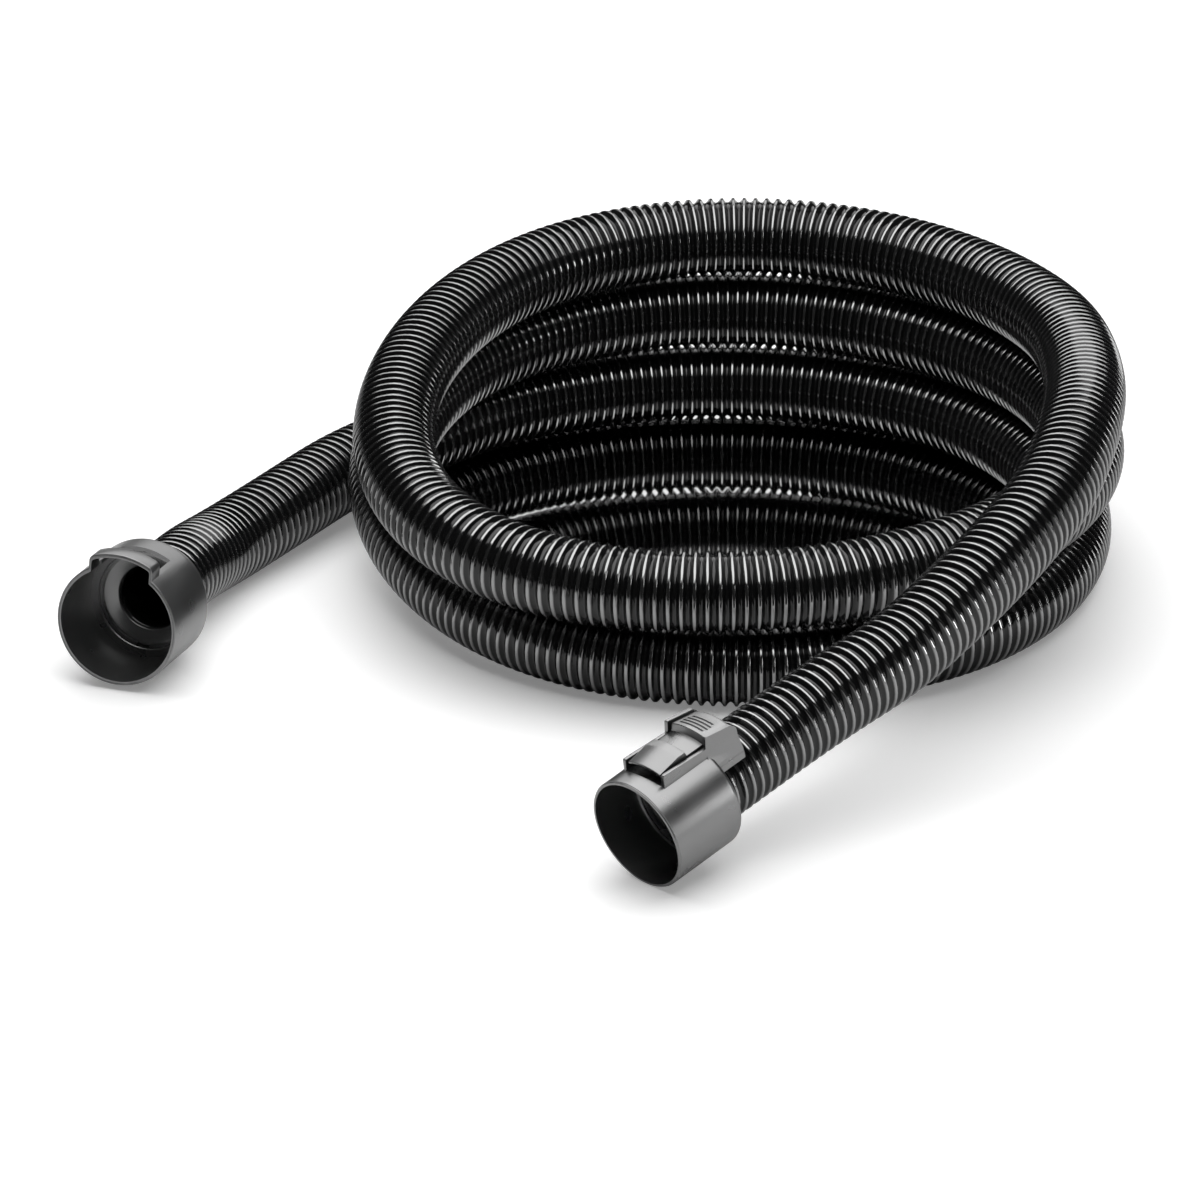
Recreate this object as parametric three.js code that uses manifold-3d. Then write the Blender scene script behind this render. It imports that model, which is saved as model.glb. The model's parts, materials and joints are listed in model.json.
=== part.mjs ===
// Vacuum hose: a ribbed hose lying in two and a half turns, with a clip socket on one end and a clip
// connector on the other. Millimetres, +Z up. The connector's mouth looks along -Y and down.
//
// Each fitting is built along its own axis: x to its side, y towards its latch, z out of its mouth,
// with the mouth at z = 0 and everything else behind it.
import * as THREE from 'three';
import { mergeVertices } from 'three/addons/utils/BufferGeometryUtils.js';
import Module from 'manifold-3d';

const wasm = await Module();
wasm.setup();

const TURN = 2 * Math.PI;
const radians = THREE.MathUtils.degToRad;

// Clearances
const FIT = 0.3;
const CUT = 1;

// Hose
const HOSE_RADIUS = 22;
const RIB_DEPTH = 2;
const BORE_RADIUS = 17.5;
const RIB_COUNT = 198;
const SECTION_POINTS = 8;
const RIBS_PER_BORE_RING = 2;

// Coil: seen from above the hose runs clockwise from COIL_FIRST_TURN to COIL_LAST_TURN. It gains a layer
// in CLIMB_TURNS of a turn, once in each turn, where it passes over the end that comes in on the floor.
const COIL_START_ANGLE = 223.5;
const COIL_FIRST_TURN = 0.09;
const COIL_LAST_TURN = 2.5;
const COIL_STEPS_PER_TURN = 24;
const LAYER_RISE = 45.2;
const CLIMB_START = 0.76;
const CLIMB_TURNS = 0.45;
// Distance from the coil's centre at every eighth of a turn, read from the photograph turn by turn
const RADIUS_FIRST_TURN = [217, 205, 198, 193, 184, 189, 186, 181];
const RADIUS_SECOND_TURN = [182, 190, 192, 191, 190, 189, 195, 196];
const RADIUS_THIRD_TURN = [179, 183, 193, 188, 188, 191];

// Free stretches, from the coil's centre on the floor: the tail runs in from the socket, and the sweep
// comes down from the top layer to the connector.
const TAIL_POINTS = [
  [-170, -218, 23],
  [-181, -176, 22],
  [-191, -136, 22],
  [-200, -96, 22],
];
const SWEEP_POINTS = [
  [171, 92, 112],
  [200, 51, 110],
  [222, 10, 103],
  [235, -30, 95],
  [243, -69, 86],
  [248, -106, 77],
  [250, -142, 68],
  [249, -180, 61],
];
const STRAIGHT_END = 48;

// Where the coil's centre lies, so that the origin is under the middle of the whole part
const COIL_CENTRE = [-23.8, 71.1];

// Socket: direction of its mouth and how far it noses up while its rear rim rests on the floor
const SOCKET_AZIMUTH = 25.1;
const SOCKET_NOSE_UP = 4.3;
const SOCKET_ROLL = 4.5;
const SOCKET_PLACE = [-113.4, -340];
const SOCKET_RADIUS = 33;
const SOCKET_WALL = 2;
const SOCKET_BORE_RADIUS = SOCKET_RADIUS - SOCKET_WALL;
const SOCKET_FLANGE_Z = -43.2;
const SOCKET_CYLINDER_LENGTH = 43;
const SOCKET_REAR_ROUND = 5;
const SOCKET_REAR_Z = -50;
const SOCKET_BOSS_Z = -56;
const BRIDGE_HALF_WIDTH = 17.6;
const BRIDGE_SIDE_WALL = 1.4;
const BRIDGE_RISE = 5.8;
const BRIDGE_RADIUS = SOCKET_RADIUS + BRIDGE_RISE;
const BRIDGE_THICKNESS = 2.1;
const BRIDGE_CORNER = 3.5;
const BRIDGE_LENGTH = 11;
const CATCH_LIP_HEIGHT = 2;
const CATCH_LIP_LENGTH = 3;
const CATCH_LIP_HALF_WIDTH = 11.3;
const CATCH_LIP_RAMP = 1;
const WINDOW_HALF_WIDTH = 15.4;
const WINDOW_REAR_Z = -30.5;

// Connector: the same, with its latch. Heights are measured from the axis
const CONNECTOR_AZIMUTH = -1.2;
const CONNECTOR_NOSE_DOWN = 12.6;
const CONNECTOR_ROLL = 0.5;
const CONNECTOR_PLACE = [244.1, -322.1];
const CONNECTOR_RADIUS = 29.7;
const CONNECTOR_WALL = 1.7;
const CONNECTOR_BORE_RADIUS = CONNECTOR_RADIUS - CONNECTOR_WALL;
const CONNECTOR_FLANGE_Z = -30.6;
const CONNECTOR_CYLINDER_LENGTH = 41.5;
const CONNECTOR_REAR_ROUND = 3.7;
const CONNECTOR_REAR_Z = -45.2;
const LEVER_HALF_WIDTH = 10.7;
const LEVER_PLAY = 1.3;
const CHANNEL_HALF_WIDTH = LEVER_HALF_WIDTH + LEVER_PLAY;
const SIDE_WALL = 2.1;
const SIDE_X = CHANNEL_HALF_WIDTH + SIDE_WALL;
const SIDE_FOOT = CONNECTOR_RADIUS - 6;
const RAIL_FRONT_Z = -11.2;
const RAIL_FRONT_TOP = CONNECTOR_RADIUS + 3.5;
const RAIL_REAR_TOP = CONNECTOR_RADIUS + 1.8;
const POCKET_FRONT_Z = -10.2;
const POCKET_FLOOR = CONNECTOR_RADIUS - 3.2;
const POCKET_FLOOR_THICKNESS = 2;
const HOUSING_FRONT_Z = -41.2;
const HOUSING_FRONT_LEAN = 0.9;
const HOUSING_FRONT_TOP = CONNECTOR_RADIUS + 8.1;
const HOUSING_TOP_REAR_Z = -59.5;
const HOUSING_REAR_TOP = CONNECTOR_RADIUS + 5.2;
const HOUSING_REAR_Z = -63;
const HOUSING_REAR_WALL_TOP = CONNECTOR_RADIUS - 1;
const HOUSING_FOOT = CONNECTOR_RADIUS - 14.7;
const HOUSING_FOOT_X = 16.6;
const HOUSING_FLARE_TOP = CONNECTOR_RADIUS - 2;
const HOUSING_FLARE_FOOT = CONNECTOR_RADIUS - 9;
const HOUSING_REAR_ROUND = 4;
const HOUSING_FOOT_ROUND = 2;
const RAIL_ROUND = 1;

// Latch lever: its top follows circles round the fitting's axis, given here by their radii
const LEVER_LIP_Z = -12.5;
const LEVER_LIP_RADIUS = CONNECTOR_RADIUS + 4.4;
const LEVER_LIP_THICKNESS = 1.1;
const LEVER_LIP_TAPER = 2.5;
const LEVER_RAMP_Z = -24.2;
const LEVER_CREST_Z = -30.7;
const LEVER_CREST_RADIUS = CONNECTOR_RADIUS + 6.8;
const LEVER_WAIST_RADIUS = CONNECTOR_RADIUS + 4.5;
const LEVER_UNDERSIDE_RADIUS = CONNECTOR_RADIUS + 2.8;
const BUTTON_FRONT_Z = -43.6;
const BUTTON_FRONT_LEAN = 1;
const BUTTON_FRONT_RADIUS = CONNECTOR_RADIUS + 8.3;
const BUTTON_REAR_Z = -61.8;
const BUTTON_REAR_RADIUS = CONNECTOR_RADIUS + 5.3;
const BUTTON_UNDERSIDE = CONNECTOR_RADIUS + 0.9;
const BUTTON_REAR_ROUND = 2;
const EDGE_ROUND = 0.3;
const BUTTON_EDGE_ROUND = 0.6;
const GRIP_FRONT_Z = -46.9;
const GRIP_PITCH = 2.6;
const GRIP_WIDTH = 1.3;
const GRIP_DEPTH = 0.8;
const GRIP_HALF_WIDTHS = [7.3, 7.8, 7.5, 6.5];
const PIN_Z = -58.7;
const PIN_Y = CONNECTOR_RADIUS + 1.2;
const PIN_RADIUS = 1.4;
const PIN_BOSS_RADIUS = 2.8;
const PIN_SEAT_DEPTH = 1.2;
const PIN_HALF_LENGTH = CHANNEL_HALF_WIDTH + PIN_SEAT_DEPTH - FIT;
const SPRING_Z = -49.7;
const SPRING_RADIUS = 3;
const SPRING_WIRE_RADIUS = 0.25;
const SPRING_TURNS = 3;

// Cuff, ring and seal, the same in both fittings
const SLEEVE_INNER = HOSE_RADIUS + FIT;
const SLEEVE_WALL = 2.3;
const SLEEVE_OUTER = SLEEVE_INNER + SLEEVE_WALL;
const FLANGE_WIDTH = 1.8;
const FLANGE_RADIUS = SLEEVE_OUTER + FLANGE_WIDTH;
const FLANGE_THICKNESS = 2.4;
const LIP_DEPTH = 4.6;
const CONE_DEPTH = 2.2;
const LIP_ROUND = 1.2;
const SEAL_SECTION_RADIUS = 0.4 * FLANGE_WIDTH;
const RING_OUTER = FLANGE_RADIUS + 1.2;
const RING_THICKNESS = 1.6;
const RING_GAP = 7;
const SHOULDER_THICKNESS = 1;
const BOSS_RADIUS = SLEEVE_OUTER + 2.6;

const LATHE_STEPS = 48;
const LEVER_STEPS = 96;
const RING_STEPS = 32;

const hosePlastic = new THREE.MeshStandardMaterial({ color: 0x141517, roughness: 0.32, metalness: 0 });
const fittingPlastic = new THREE.MeshStandardMaterial({ color: 0x6d6f72, roughness: 0.42, metalness: 0 });
const cuffPlastic = new THREE.MeshStandardMaterial({ color: 0x1b1c1e, roughness: 0.4, metalness: 0 });
const sealRubber = new THREE.MeshStandardMaterial({ color: 0x101010, roughness: 0.8, metalness: 0 });
const steel = new THREE.MeshStandardMaterial({ color: 0xb4b7ba, roughness: 0.3, metalness: 1 });

// A closed three.js geometry as a solid that can be joined and cut
function solid(geometry) {
  const bare = geometry.index ? geometry.toNonIndexed() : geometry.clone();
  for (const name of Object.keys(bare.attributes)) {
    if (name !== 'position') bare.deleteAttribute(name);
  }
  const merged = mergeVertices(bare, 1e-4);
  const index = merged.index.array;
  const corners = [];
  for (let i = 0; i < index.length; i += 3) {
    const [a, b, c] = [index[i], index[i + 1], index[i + 2]];
    if (a !== b && b !== c && c !== a) corners.push(a, b, c);
  }
  return new wasm.Manifold(new wasm.Mesh({
    numProp: 3,
    vertProperties: new Float32Array(merged.attributes.position.array),
    triVerts: new Uint32Array(corners),
  }));
}

function geometryOf(body) {
  const mesh = body.getMesh();
  const geometry = new THREE.BufferGeometry();
  geometry.setAttribute('position', new THREE.BufferAttribute(new Float32Array(mesh.vertProperties), 3));
  geometry.setIndex(new THREE.BufferAttribute(new Uint32Array(mesh.triVerts), 1));
  geometry.computeVertexNormals();
  return geometry;
}

function namedMesh(name, geometry, material) {
  const mesh = new THREE.Mesh(geometry, material);
  mesh.name = name;
  return mesh;
}

// Revolves [radius, z] points about the z axis. The points run round the section so that it lies on
// their left, and start and end on the axis or close on themselves.
function revolve(points, steps = LATHE_STEPS) {
  const profile = points.map(([radius, z]) => new THREE.Vector2(radius, z));
  const closesOnAxis = points[0][0] === 0;
  if (!closesOnAxis) profile.push(profile[0].clone());
  const geometry = new THREE.LatheGeometry(profile, steps);
  return geometry.rotateX(Math.PI / 2);
}

// Extrudes an outline of [z, y] points across the fitting, centred on its middle plane
function acrossX(shape, width) {
  const geometry = new THREE.ExtrudeGeometry(shape, { depth: width, bevelEnabled: false, curveSegments: 6 });
  return geometry.rotateY(-Math.PI / 2).translate(width / 2, 0, 0);
}

// Extrudes an outline of [x, y] points from one z back to another
function alongZ(shape, front, rear) {
  const options = { depth: front - rear, bevelEnabled: false, curveSegments: 8 };
  return new THREE.ExtrudeGeometry(shape, options).translate(0, 0, rear);
}

function box(x0, x1, y0, y1, z0, z1) {
  const geometry = new THREE.BoxGeometry(x1 - x0, y1 - y0, z1 - z0);
  return solid(geometry.translate((x0 + x1) / 2, (y0 + y1) / 2, (z0 + z1) / 2));
}

function shapeOf(points) {
  return new THREE.Shape(points.map(([a, b]) => new THREE.Vector2(a, b)));
}

// Part of a circle as [a, b] points, from one angle to another in degrees
function arc(centreA, centreB, radius, from, to, steps = 4) {
  const points = [];
  for (let i = 0; i <= steps; i += 1) {
    const angle = radians(from + ((to - from) * i) / steps);
    points.push([centreA + radius * Math.cos(angle), centreB + radius * Math.sin(angle)]);
  }
  return points;
}

// Rises smoothly from 0 to 1, with no corner or jerk at either end
function ease(t) {
  const x = THREE.MathUtils.clamp(t, 0, 1);
  return x * x * x * (10 - 15 * x + 6 * x * x);
}

// Centre of the hose in the coil, after so many turns. The radius passes through the eighths' values.
function coilPoint(turns) {
  const radii = [...RADIUS_FIRST_TURN, ...RADIUS_SECOND_TURN, ...RADIUS_THIRD_TURN];
  const place = THREE.MathUtils.clamp(turns * 8, 0, radii.length - 1);
  const left = Math.min(Math.floor(place), radii.length - 2);
  const at = (i) => radii[THREE.MathUtils.clamp(i, 0, radii.length - 1)];
  const t = place - left;
  const slopeLeft = (at(left + 1) - at(left - 1)) / 2;
  const slopeRight = (at(left + 2) - at(left)) / 2;
  const step = at(left + 1) - at(left);
  const bend = 3 * step - 2 * slopeLeft - slopeRight;
  const twist = slopeLeft + slopeRight - 2 * step;
  const radius = at(left) + t * (slopeLeft + t * (bend + t * twist));
  const climb = ease((turns - CLIMB_START) / CLIMB_TURNS) + ease((turns - CLIMB_START - 1) / CLIMB_TURNS);
  const angle = radians(COIL_START_ANGLE - 360 * turns);
  return new THREE.Vector3(
    radius * Math.cos(angle),
    radius * Math.sin(angle),
    HOSE_RADIUS + LAYER_RISE * climb,
  );
}

// Placement of a fitting: its mouth's centre, and its z axis out of the mouth. The roll turns it
// clockwise as seen from in front.
function fittingFrame(place, azimuth, noseUp, roll, mouthHeight) {
  const turn = radians(azimuth);
  const tilt = radians(noseUp);
  const out = new THREE.Vector3(
    Math.sin(turn) * Math.cos(tilt),
    -Math.cos(turn) * Math.cos(tilt),
    Math.sin(tilt),
  );
  const level = new THREE.Vector3(Math.cos(turn), Math.sin(turn), 0);
  const side = level.applyAxisAngle(out, -radians(roll));
  const up = new THREE.Vector3().crossVectors(out, side);
  const frame = new THREE.Matrix4().makeBasis(side, up, out);
  frame.setPosition(place[0], place[1], mouthHeight);
  return frame;
}

const socketTilt = radians(SOCKET_NOSE_UP);
const socketHeight = SOCKET_RADIUS * Math.cos(socketTilt) + SOCKET_CYLINDER_LENGTH * Math.sin(socketTilt);
const socketFrame = fittingFrame(SOCKET_PLACE, SOCKET_AZIMUTH, SOCKET_NOSE_UP, SOCKET_ROLL, socketHeight);
const connectorHeight = CONNECTOR_RADIUS * Math.cos(radians(CONNECTOR_NOSE_DOWN));
const connectorFrame = fittingFrame(
  CONNECTOR_PLACE,
  CONNECTOR_AZIMUTH,
  -CONNECTOR_NOSE_DOWN,
  CONNECTOR_ROLL,
  connectorHeight,
);

// The whole hose as one curve: out of the socket's cuff, round the coil and into the connector's cuff
function hoseCurve() {
  const along = (frame, z) => new THREE.Vector3(0, 0, z).applyMatrix4(frame);
  const socketEnd = SOCKET_FLANGE_Z - LIP_DEPTH - FIT;
  const connectorEnd = CONNECTOR_FLANGE_Z - LIP_DEPTH - FIT;
  const points = [];
  for (let i = 0; i <= 2; i += 1) {
    points.push(along(socketFrame, socketEnd - (i * STRAIGHT_END) / 2));
  }
  TAIL_POINTS.forEach((point) => points.push(new THREE.Vector3(...point)));
  const steps = Math.round((COIL_LAST_TURN - COIL_FIRST_TURN) * COIL_STEPS_PER_TURN);
  for (let i = 0; i <= steps; i += 1) {
    points.push(coilPoint(COIL_FIRST_TURN + ((COIL_LAST_TURN - COIL_FIRST_TURN) * i) / steps));
  }
  SWEEP_POINTS.forEach((point) => points.push(new THREE.Vector3(...point)));
  for (let i = 2; i >= 0; i -= 1) {
    points.push(along(connectorFrame, connectorEnd - (i * STRAIGHT_END) / 2));
  }
  const curve = new THREE.CatmullRomCurve3(points, false, 'centripetal');
  curve.arcLengthDivisions = 4000;
  const coilStart = 3 + TAIL_POINTS.length;
  const lengths = curve.getLengths();
  const lengthAt = (i) => lengths[Math.round((i / (points.length - 1)) * curve.arcLengthDivisions)];
  return {
    curve,
    length: curve.getLength(),
    coilFrom: lengthAt(coilStart),
    coilTo: lengthAt(coilStart + steps),
  };
}

const hose = hoseCurve();

// Least gap between stretches of the hose that aren't next to each other, over the ribs' full radius
function leastGap() {
  const step = 6;
  const apart = 30;
  const count = Math.floor(hose.length / step);
  const points = [];
  for (let i = 0; i <= count; i += 1) points.push(hose.curve.getPointAt(i / count));
  let least = Infinity;
  for (let i = 0; i <= count; i += 1) {
    for (let j = i + apart; j <= count; j += 1) {
      least = Math.min(least, points[i].distanceTo(points[j]));
    }
  }
  return least - 2 * HOSE_RADIUS;
}

// Ring of corners round the hose at one place along it. Flats face up, down and to the sides, and the
// two lowest corners of a rib that lies on the floor are set down on it.
function hoseRing(distance, radius, isRib) {
  const t = THREE.MathUtils.clamp(distance / hose.length, 0, 1);
  const centre = hose.curve.getPointAt(t);
  const tangent = hose.curve.getTangentAt(t);
  const side = new THREE.Vector3(0, 0, 1).cross(tangent).normalize();
  const up = new THREE.Vector3().crossVectors(tangent, side);
  const ring = [];
  for (let k = 0; k < SECTION_POINTS; k += 1) {
    const angle = (TURN * (k + 0.5)) / SECTION_POINTS;
    const corner = centre.clone();
    corner.addScaledVector(side, radius * Math.cos(angle));
    corner.addScaledVector(up, radius * Math.sin(angle));
    if (isRib && corner.z < RIB_DEPTH) corner.z = 0;
    ring.push(corner);
  }
  return ring;
}

// One stretch of ribbed hose as a closed tube: ribs outside, a smooth bore inside, flat ring ends
function hoseStretch(from, to) {
  const ribs = Math.round((RIB_COUNT * (to - from)) / hose.length);
  const outer = [];
  for (let i = 0; i <= 2 * ribs; i += 1) {
    const isRib = i % 2 === 1;
    const radius = isRib ? HOSE_RADIUS : HOSE_RADIUS - RIB_DEPTH;
    outer.push(hoseRing(from + ((to - from) * i) / (2 * ribs), radius, isRib));
  }
  const boreSteps = Math.ceil(ribs / RIBS_PER_BORE_RING);
  const bore = [];
  for (let i = 0; i <= boreSteps; i += 1) {
    bore.push(hoseRing(from + ((to - from) * i) / boreSteps, BORE_RADIUS, false));
  }
  const loops = [...outer, ...bore.reverse()];
  const positions = loops.flat().flatMap((corner) => corner.toArray());
  const index = [];
  for (let i = 0; i < loops.length; i += 1) {
    const next = (i + 1) % loops.length;
    for (let k = 0; k < SECTION_POINTS; k += 1) {
      const a = i * SECTION_POINTS + k;
      const b = i * SECTION_POINTS + ((k + 1) % SECTION_POINTS);
      const c = next * SECTION_POINTS + k;
      const d = next * SECTION_POINTS + ((k + 1) % SECTION_POINTS);
      index.push(a, b, d, a, d, c);
    }
  }
  const geometry = new THREE.BufferGeometry();
  geometry.setAttribute('position', new THREE.Float32BufferAttribute(positions, 3));
  geometry.setIndex(index);
  geometry.computeVertexNormals();
  return geometry;
}

// Cuff: a flange that turns in the fitting, a cone down to a rounded lip, and a sleeve over the hose
function cuffGeometry(flangeZ, sleeveEnd) {
  return revolve([
    [SLEEVE_OUTER, sleeveEnd],
    [SLEEVE_OUTER, flangeZ - FLANGE_THICKNESS],
    [FLANGE_RADIUS, flangeZ - FLANGE_THICKNESS],
    [FLANGE_RADIUS, flangeZ],
    [SLEEVE_OUTER, flangeZ],
    ...arc(BORE_RADIUS + LIP_ROUND, flangeZ - CONE_DEPTH - LIP_ROUND, LIP_ROUND, 90, 180, 3),
    [BORE_RADIUS, flangeZ - LIP_DEPTH],
    [SLEEVE_INNER, flangeZ - LIP_DEPTH],
    [SLEEVE_INNER, sleeveEnd],
  ]);
}

// Sealing ring in the gap between the sleeve and the wall, behind the flange
function sealGeometry(flangeZ) {
  const middle = (SLEEVE_OUTER + FLANGE_RADIUS) / 2 + FIT;
  const z = flangeZ - FLANGE_THICKNESS - FIT - SEAL_SECTION_RADIUS;
  const section = arc(middle, z, SEAL_SECTION_RADIUS, 0, 360, 8);
  section.pop();
  return revolve(section, RING_STEPS);
}

// Split ring that snaps into the fitting's groove in front of the flange
function ringGeometry(flangeZ) {
  const inner = SLEEVE_OUTER + FIT;
  const rear = flangeZ + FIT;
  const front = rear + RING_THICKNESS;
  const whole = solid(revolve([[RING_OUTER, rear], [RING_OUTER, front], [inner, front], [inner, rear]]));
  const reach = RING_OUTER + CUT;
  const split = box(-RING_GAP / 2, RING_GAP / 2, -reach, 0, rear - CUT, front + CUT);
  return geometryOf(whole.subtract(split));
}

// Everything that is cut out of a fitting along its axis, from its mouth to its rear
function boreSolid(boreRadius, flangeZ, rearZ, hoseClearanceTo) {
  const grooveFront = flangeZ + RING_THICKNESS + 2 * FIT;
  const shoulder = grooveFront + SHOULDER_THICKNESS;
  const seat = flangeZ - FLANGE_THICKNESS - 2 * SEAL_SECTION_RADIUS - 2 * FIT;
  const hoseClearance = HOSE_RADIUS + 2 * FIT;
  return solid(revolve([
    [0, hoseClearanceTo],
    [hoseClearance, hoseClearanceTo],
    [hoseClearance, rearZ],
    [SLEEVE_OUTER + FIT, rearZ],
    [SLEEVE_OUTER + FIT, seat],
    [FLANGE_RADIUS + FIT, seat],
    [FLANGE_RADIUS + FIT, flangeZ],
    [RING_OUTER + FIT, flangeZ],
    [RING_OUTER + FIT, grooveFront],
    [FLANGE_RADIUS + FIT, grooveFront],
    [FLANGE_RADIUS + FIT, shoulder],
    [boreRadius, shoulder],
    [boreRadius, CUT],
    [0, CUT],
  ]));
}

// Arch in x and y: upright sides, rounded corners and a top on a circle round the axis
function archShape(half, radius, corner, foot) {
  const middle = half - corner;
  const height = Math.sqrt((radius - corner) ** 2 - middle ** 2);
  const turn = THREE.MathUtils.radToDeg(Math.atan2(height, middle));
  return shapeOf([
    [-half, foot],
    [half, foot],
    ...arc(middle, height, corner, 0, turn, 3),
    ...arc(0, 0, radius, turn, 180 - turn, 8).slice(1, -1),
    ...arc(-middle, height, corner, 180 - turn, 180, 3),
  ]);
}

// Socket: a cup with a raised bridge over its rim and a window behind the bridge for a hook
function socketBody() {
  const roundStart = SOCKET_RADIUS - SOCKET_REAR_ROUND;
  const cup = solid(revolve([
    [0, SOCKET_BOSS_Z],
    [BOSS_RADIUS, SOCKET_BOSS_Z],
    [BOSS_RADIUS, SOCKET_REAR_Z],
    ...arc(roundStart, -SOCKET_CYLINDER_LENGTH, SOCKET_REAR_ROUND, -70, 0),
    [SOCKET_RADIUS, 0],
    [0, 0],
  ]));
  const foot = SOCKET_RADIUS - 2 * BRIDGE_CORNER;
  const bridgeShape = archShape(BRIDGE_HALF_WIDTH, BRIDGE_RADIUS, BRIDGE_CORNER, foot);
  const bridge = solid(alongZ(bridgeShape, 0, -BRIDGE_LENGTH));
  const channelHalf = BRIDGE_HALF_WIDTH - BRIDGE_SIDE_WALL;
  const channelRadius = BRIDGE_RADIUS - BRIDGE_THICKNESS;
  const channelShape = archShape(channelHalf, channelRadius, BRIDGE_CORNER - BRIDGE_SIDE_WALL, 0);
  const channel = solid(alongZ(channelShape, CUT, -BRIDGE_LENGTH - CUT));
  const lipFront = CATCH_LIP_LENGTH - BRIDGE_LENGTH;
  const underLip = channelRadius - CATCH_LIP_HEIGHT;
  const lipRing = solid(revolve([
    [underLip, -BRIDGE_LENGTH],
    [BRIDGE_RADIUS, -BRIDGE_LENGTH],
    [BRIDGE_RADIUS, lipFront],
    [channelRadius, lipFront],
    [underLip, lipFront - CATCH_LIP_RAMP],
  ]));
  const lipHalf = CATCH_LIP_HALF_WIDTH;
  const lipReach = box(-lipHalf, lipHalf, 0, BRIDGE_RADIUS, -BRIDGE_LENGTH, lipFront);
  const lip = lipRing.intersect(lipReach);
  const half = WINDOW_HALF_WIDTH;
  const window = box(-half, half, BORE_RADIUS, BRIDGE_RADIUS + CUT, WINDOW_REAR_Z, -BRIDGE_LENGTH);
  const bore = boreSolid(SOCKET_BORE_RADIUS, SOCKET_FLANGE_Z, SOCKET_BOSS_Z - CUT, SOCKET_BOSS_Z - 2 * CUT);
  return cup.add(bridge).subtract(bore).subtract(channel.subtract(lip)).subtract(window);
}

// Housing of the button, seen from the side, with walls that stand further apart at their feet
function housingSolid() {
  const frontTop = HOUSING_FRONT_Z - HOUSING_FRONT_LEAN - RAIL_ROUND;
  const rearMiddle = HOUSING_REAR_TOP - 1.2 * HOUSING_REAR_ROUND;
  const outline = shapeOf([
    [HOUSING_FRONT_Z, HOUSING_FOOT],
    [HOUSING_FRONT_Z, RAIL_REAR_TOP],
    ...arc(frontTop, HOUSING_FRONT_TOP - RAIL_ROUND, RAIL_ROUND, 0, 80),
    [HOUSING_TOP_REAR_Z, HOUSING_REAR_TOP],
    ...arc(HOUSING_REAR_Z + HOUSING_REAR_ROUND, rearMiddle, HOUSING_REAR_ROUND, 110, 180),
    ...arc(HOUSING_REAR_Z + HOUSING_FOOT_ROUND, HOUSING_FOOT, HOUSING_FOOT_ROUND, 180, 270),
  ]);
  const section = shapeOf([
    [-HOUSING_FOOT_X, 0],
    [HOUSING_FOOT_X, 0],
    [HOUSING_FOOT_X, HOUSING_FLARE_FOOT],
    [SIDE_X, HOUSING_FLARE_TOP],
    [SIDE_X, HOUSING_FRONT_TOP + CUT],
    [-SIDE_X, HOUSING_FRONT_TOP + CUT],
    [-SIDE_X, HOUSING_FLARE_TOP],
    [-HOUSING_FOOT_X, HOUSING_FLARE_FOOT],
  ]);
  const across = solid(acrossX(outline, 2 * HOUSING_FOOT_X));
  return across.intersect(solid(alongZ(section, HOUSING_FRONT_Z + CUT, HOUSING_REAR_Z - CUT)));
}

// Rail beside the hook, seen from the side
function railSolid(middle) {
  const outline = shapeOf([
    [HOUSING_FRONT_Z - CUT, SIDE_FOOT],
    [RAIL_FRONT_Z, SIDE_FOOT],
    ...arc(RAIL_FRONT_Z - 1.5 * RAIL_ROUND, RAIL_FRONT_TOP - RAIL_ROUND, RAIL_ROUND, 0, 86),
    [HOUSING_FRONT_Z - CUT, RAIL_REAR_TOP],
  ]);
  return solid(acrossX(outline, SIDE_WALL).translate(middle, 0, 0));
}

// Connector: the plug, a sunk flat under the hook, a rail on each side and the button's housing
function connectorBody() {
  const roundStart = CONNECTOR_RADIUS - CONNECTOR_REAR_ROUND;
  const plug = solid(revolve([
    [0, CONNECTOR_REAR_Z],
    ...arc(roundStart, -CONNECTOR_CYLINDER_LENGTH, CONNECTOR_REAR_ROUND, -90, 0),
    [CONNECTOR_RADIUS, 0],
    [0, 0],
  ]));
  const railMiddle = SIDE_X - SIDE_WALL / 2;
  const outside = plug.add(housingSolid()).add(railSolid(railMiddle)).add(railSolid(-railMiddle));
  const bore = boreSolid(CONNECTOR_BORE_RADIUS, CONNECTOR_FLANGE_Z, CONNECTOR_REAR_Z, HOUSING_REAR_Z - CUT);
  const floorBottom = POCKET_FLOOR - POCKET_FLOOR_THICKNESS;
  const floorRear = CONNECTOR_FLANGE_Z + RING_THICKNESS + 2 * FIT + SHOULDER_THICKNESS / 2;
  const floorFront = POCKET_FRONT_Z + POCKET_FLOOR_THICKNESS;
  const floor = box(-SIDE_X, SIDE_X, floorBottom, CONNECTOR_RADIUS, floorRear, floorFront);
  const top = HOUSING_FRONT_TOP + CUT;
  const half = CHANNEL_HALF_WIDTH;
  const channelRear = HOUSING_REAR_Z + SIDE_WALL;
  const channel = box(-half, half, POCKET_FLOOR, top, channelRear, POCKET_FRONT_Z);
  const rearCut = box(-half, half, HOUSING_REAR_WALL_TOP, top, HOUSING_REAR_Z - CUT, channelRear + CUT);
  const pinHole = solid(pinGeometry(PIN_RADIUS + FIT, half + PIN_SEAT_DEPTH));
  const bodied = outside.subtract(bore).add(floor.intersect(plug));
  return bodied.subtract(channel).subtract(rearCut).subtract(pinHole);
}

function pinGeometry(radius, halfLength) {
  const geometry = new THREE.CylinderGeometry(radius, radius, 2 * halfLength, 16);
  return geometry.rotateZ(Math.PI / 2).translate(0, PIN_Y, PIN_Z);
}

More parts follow.
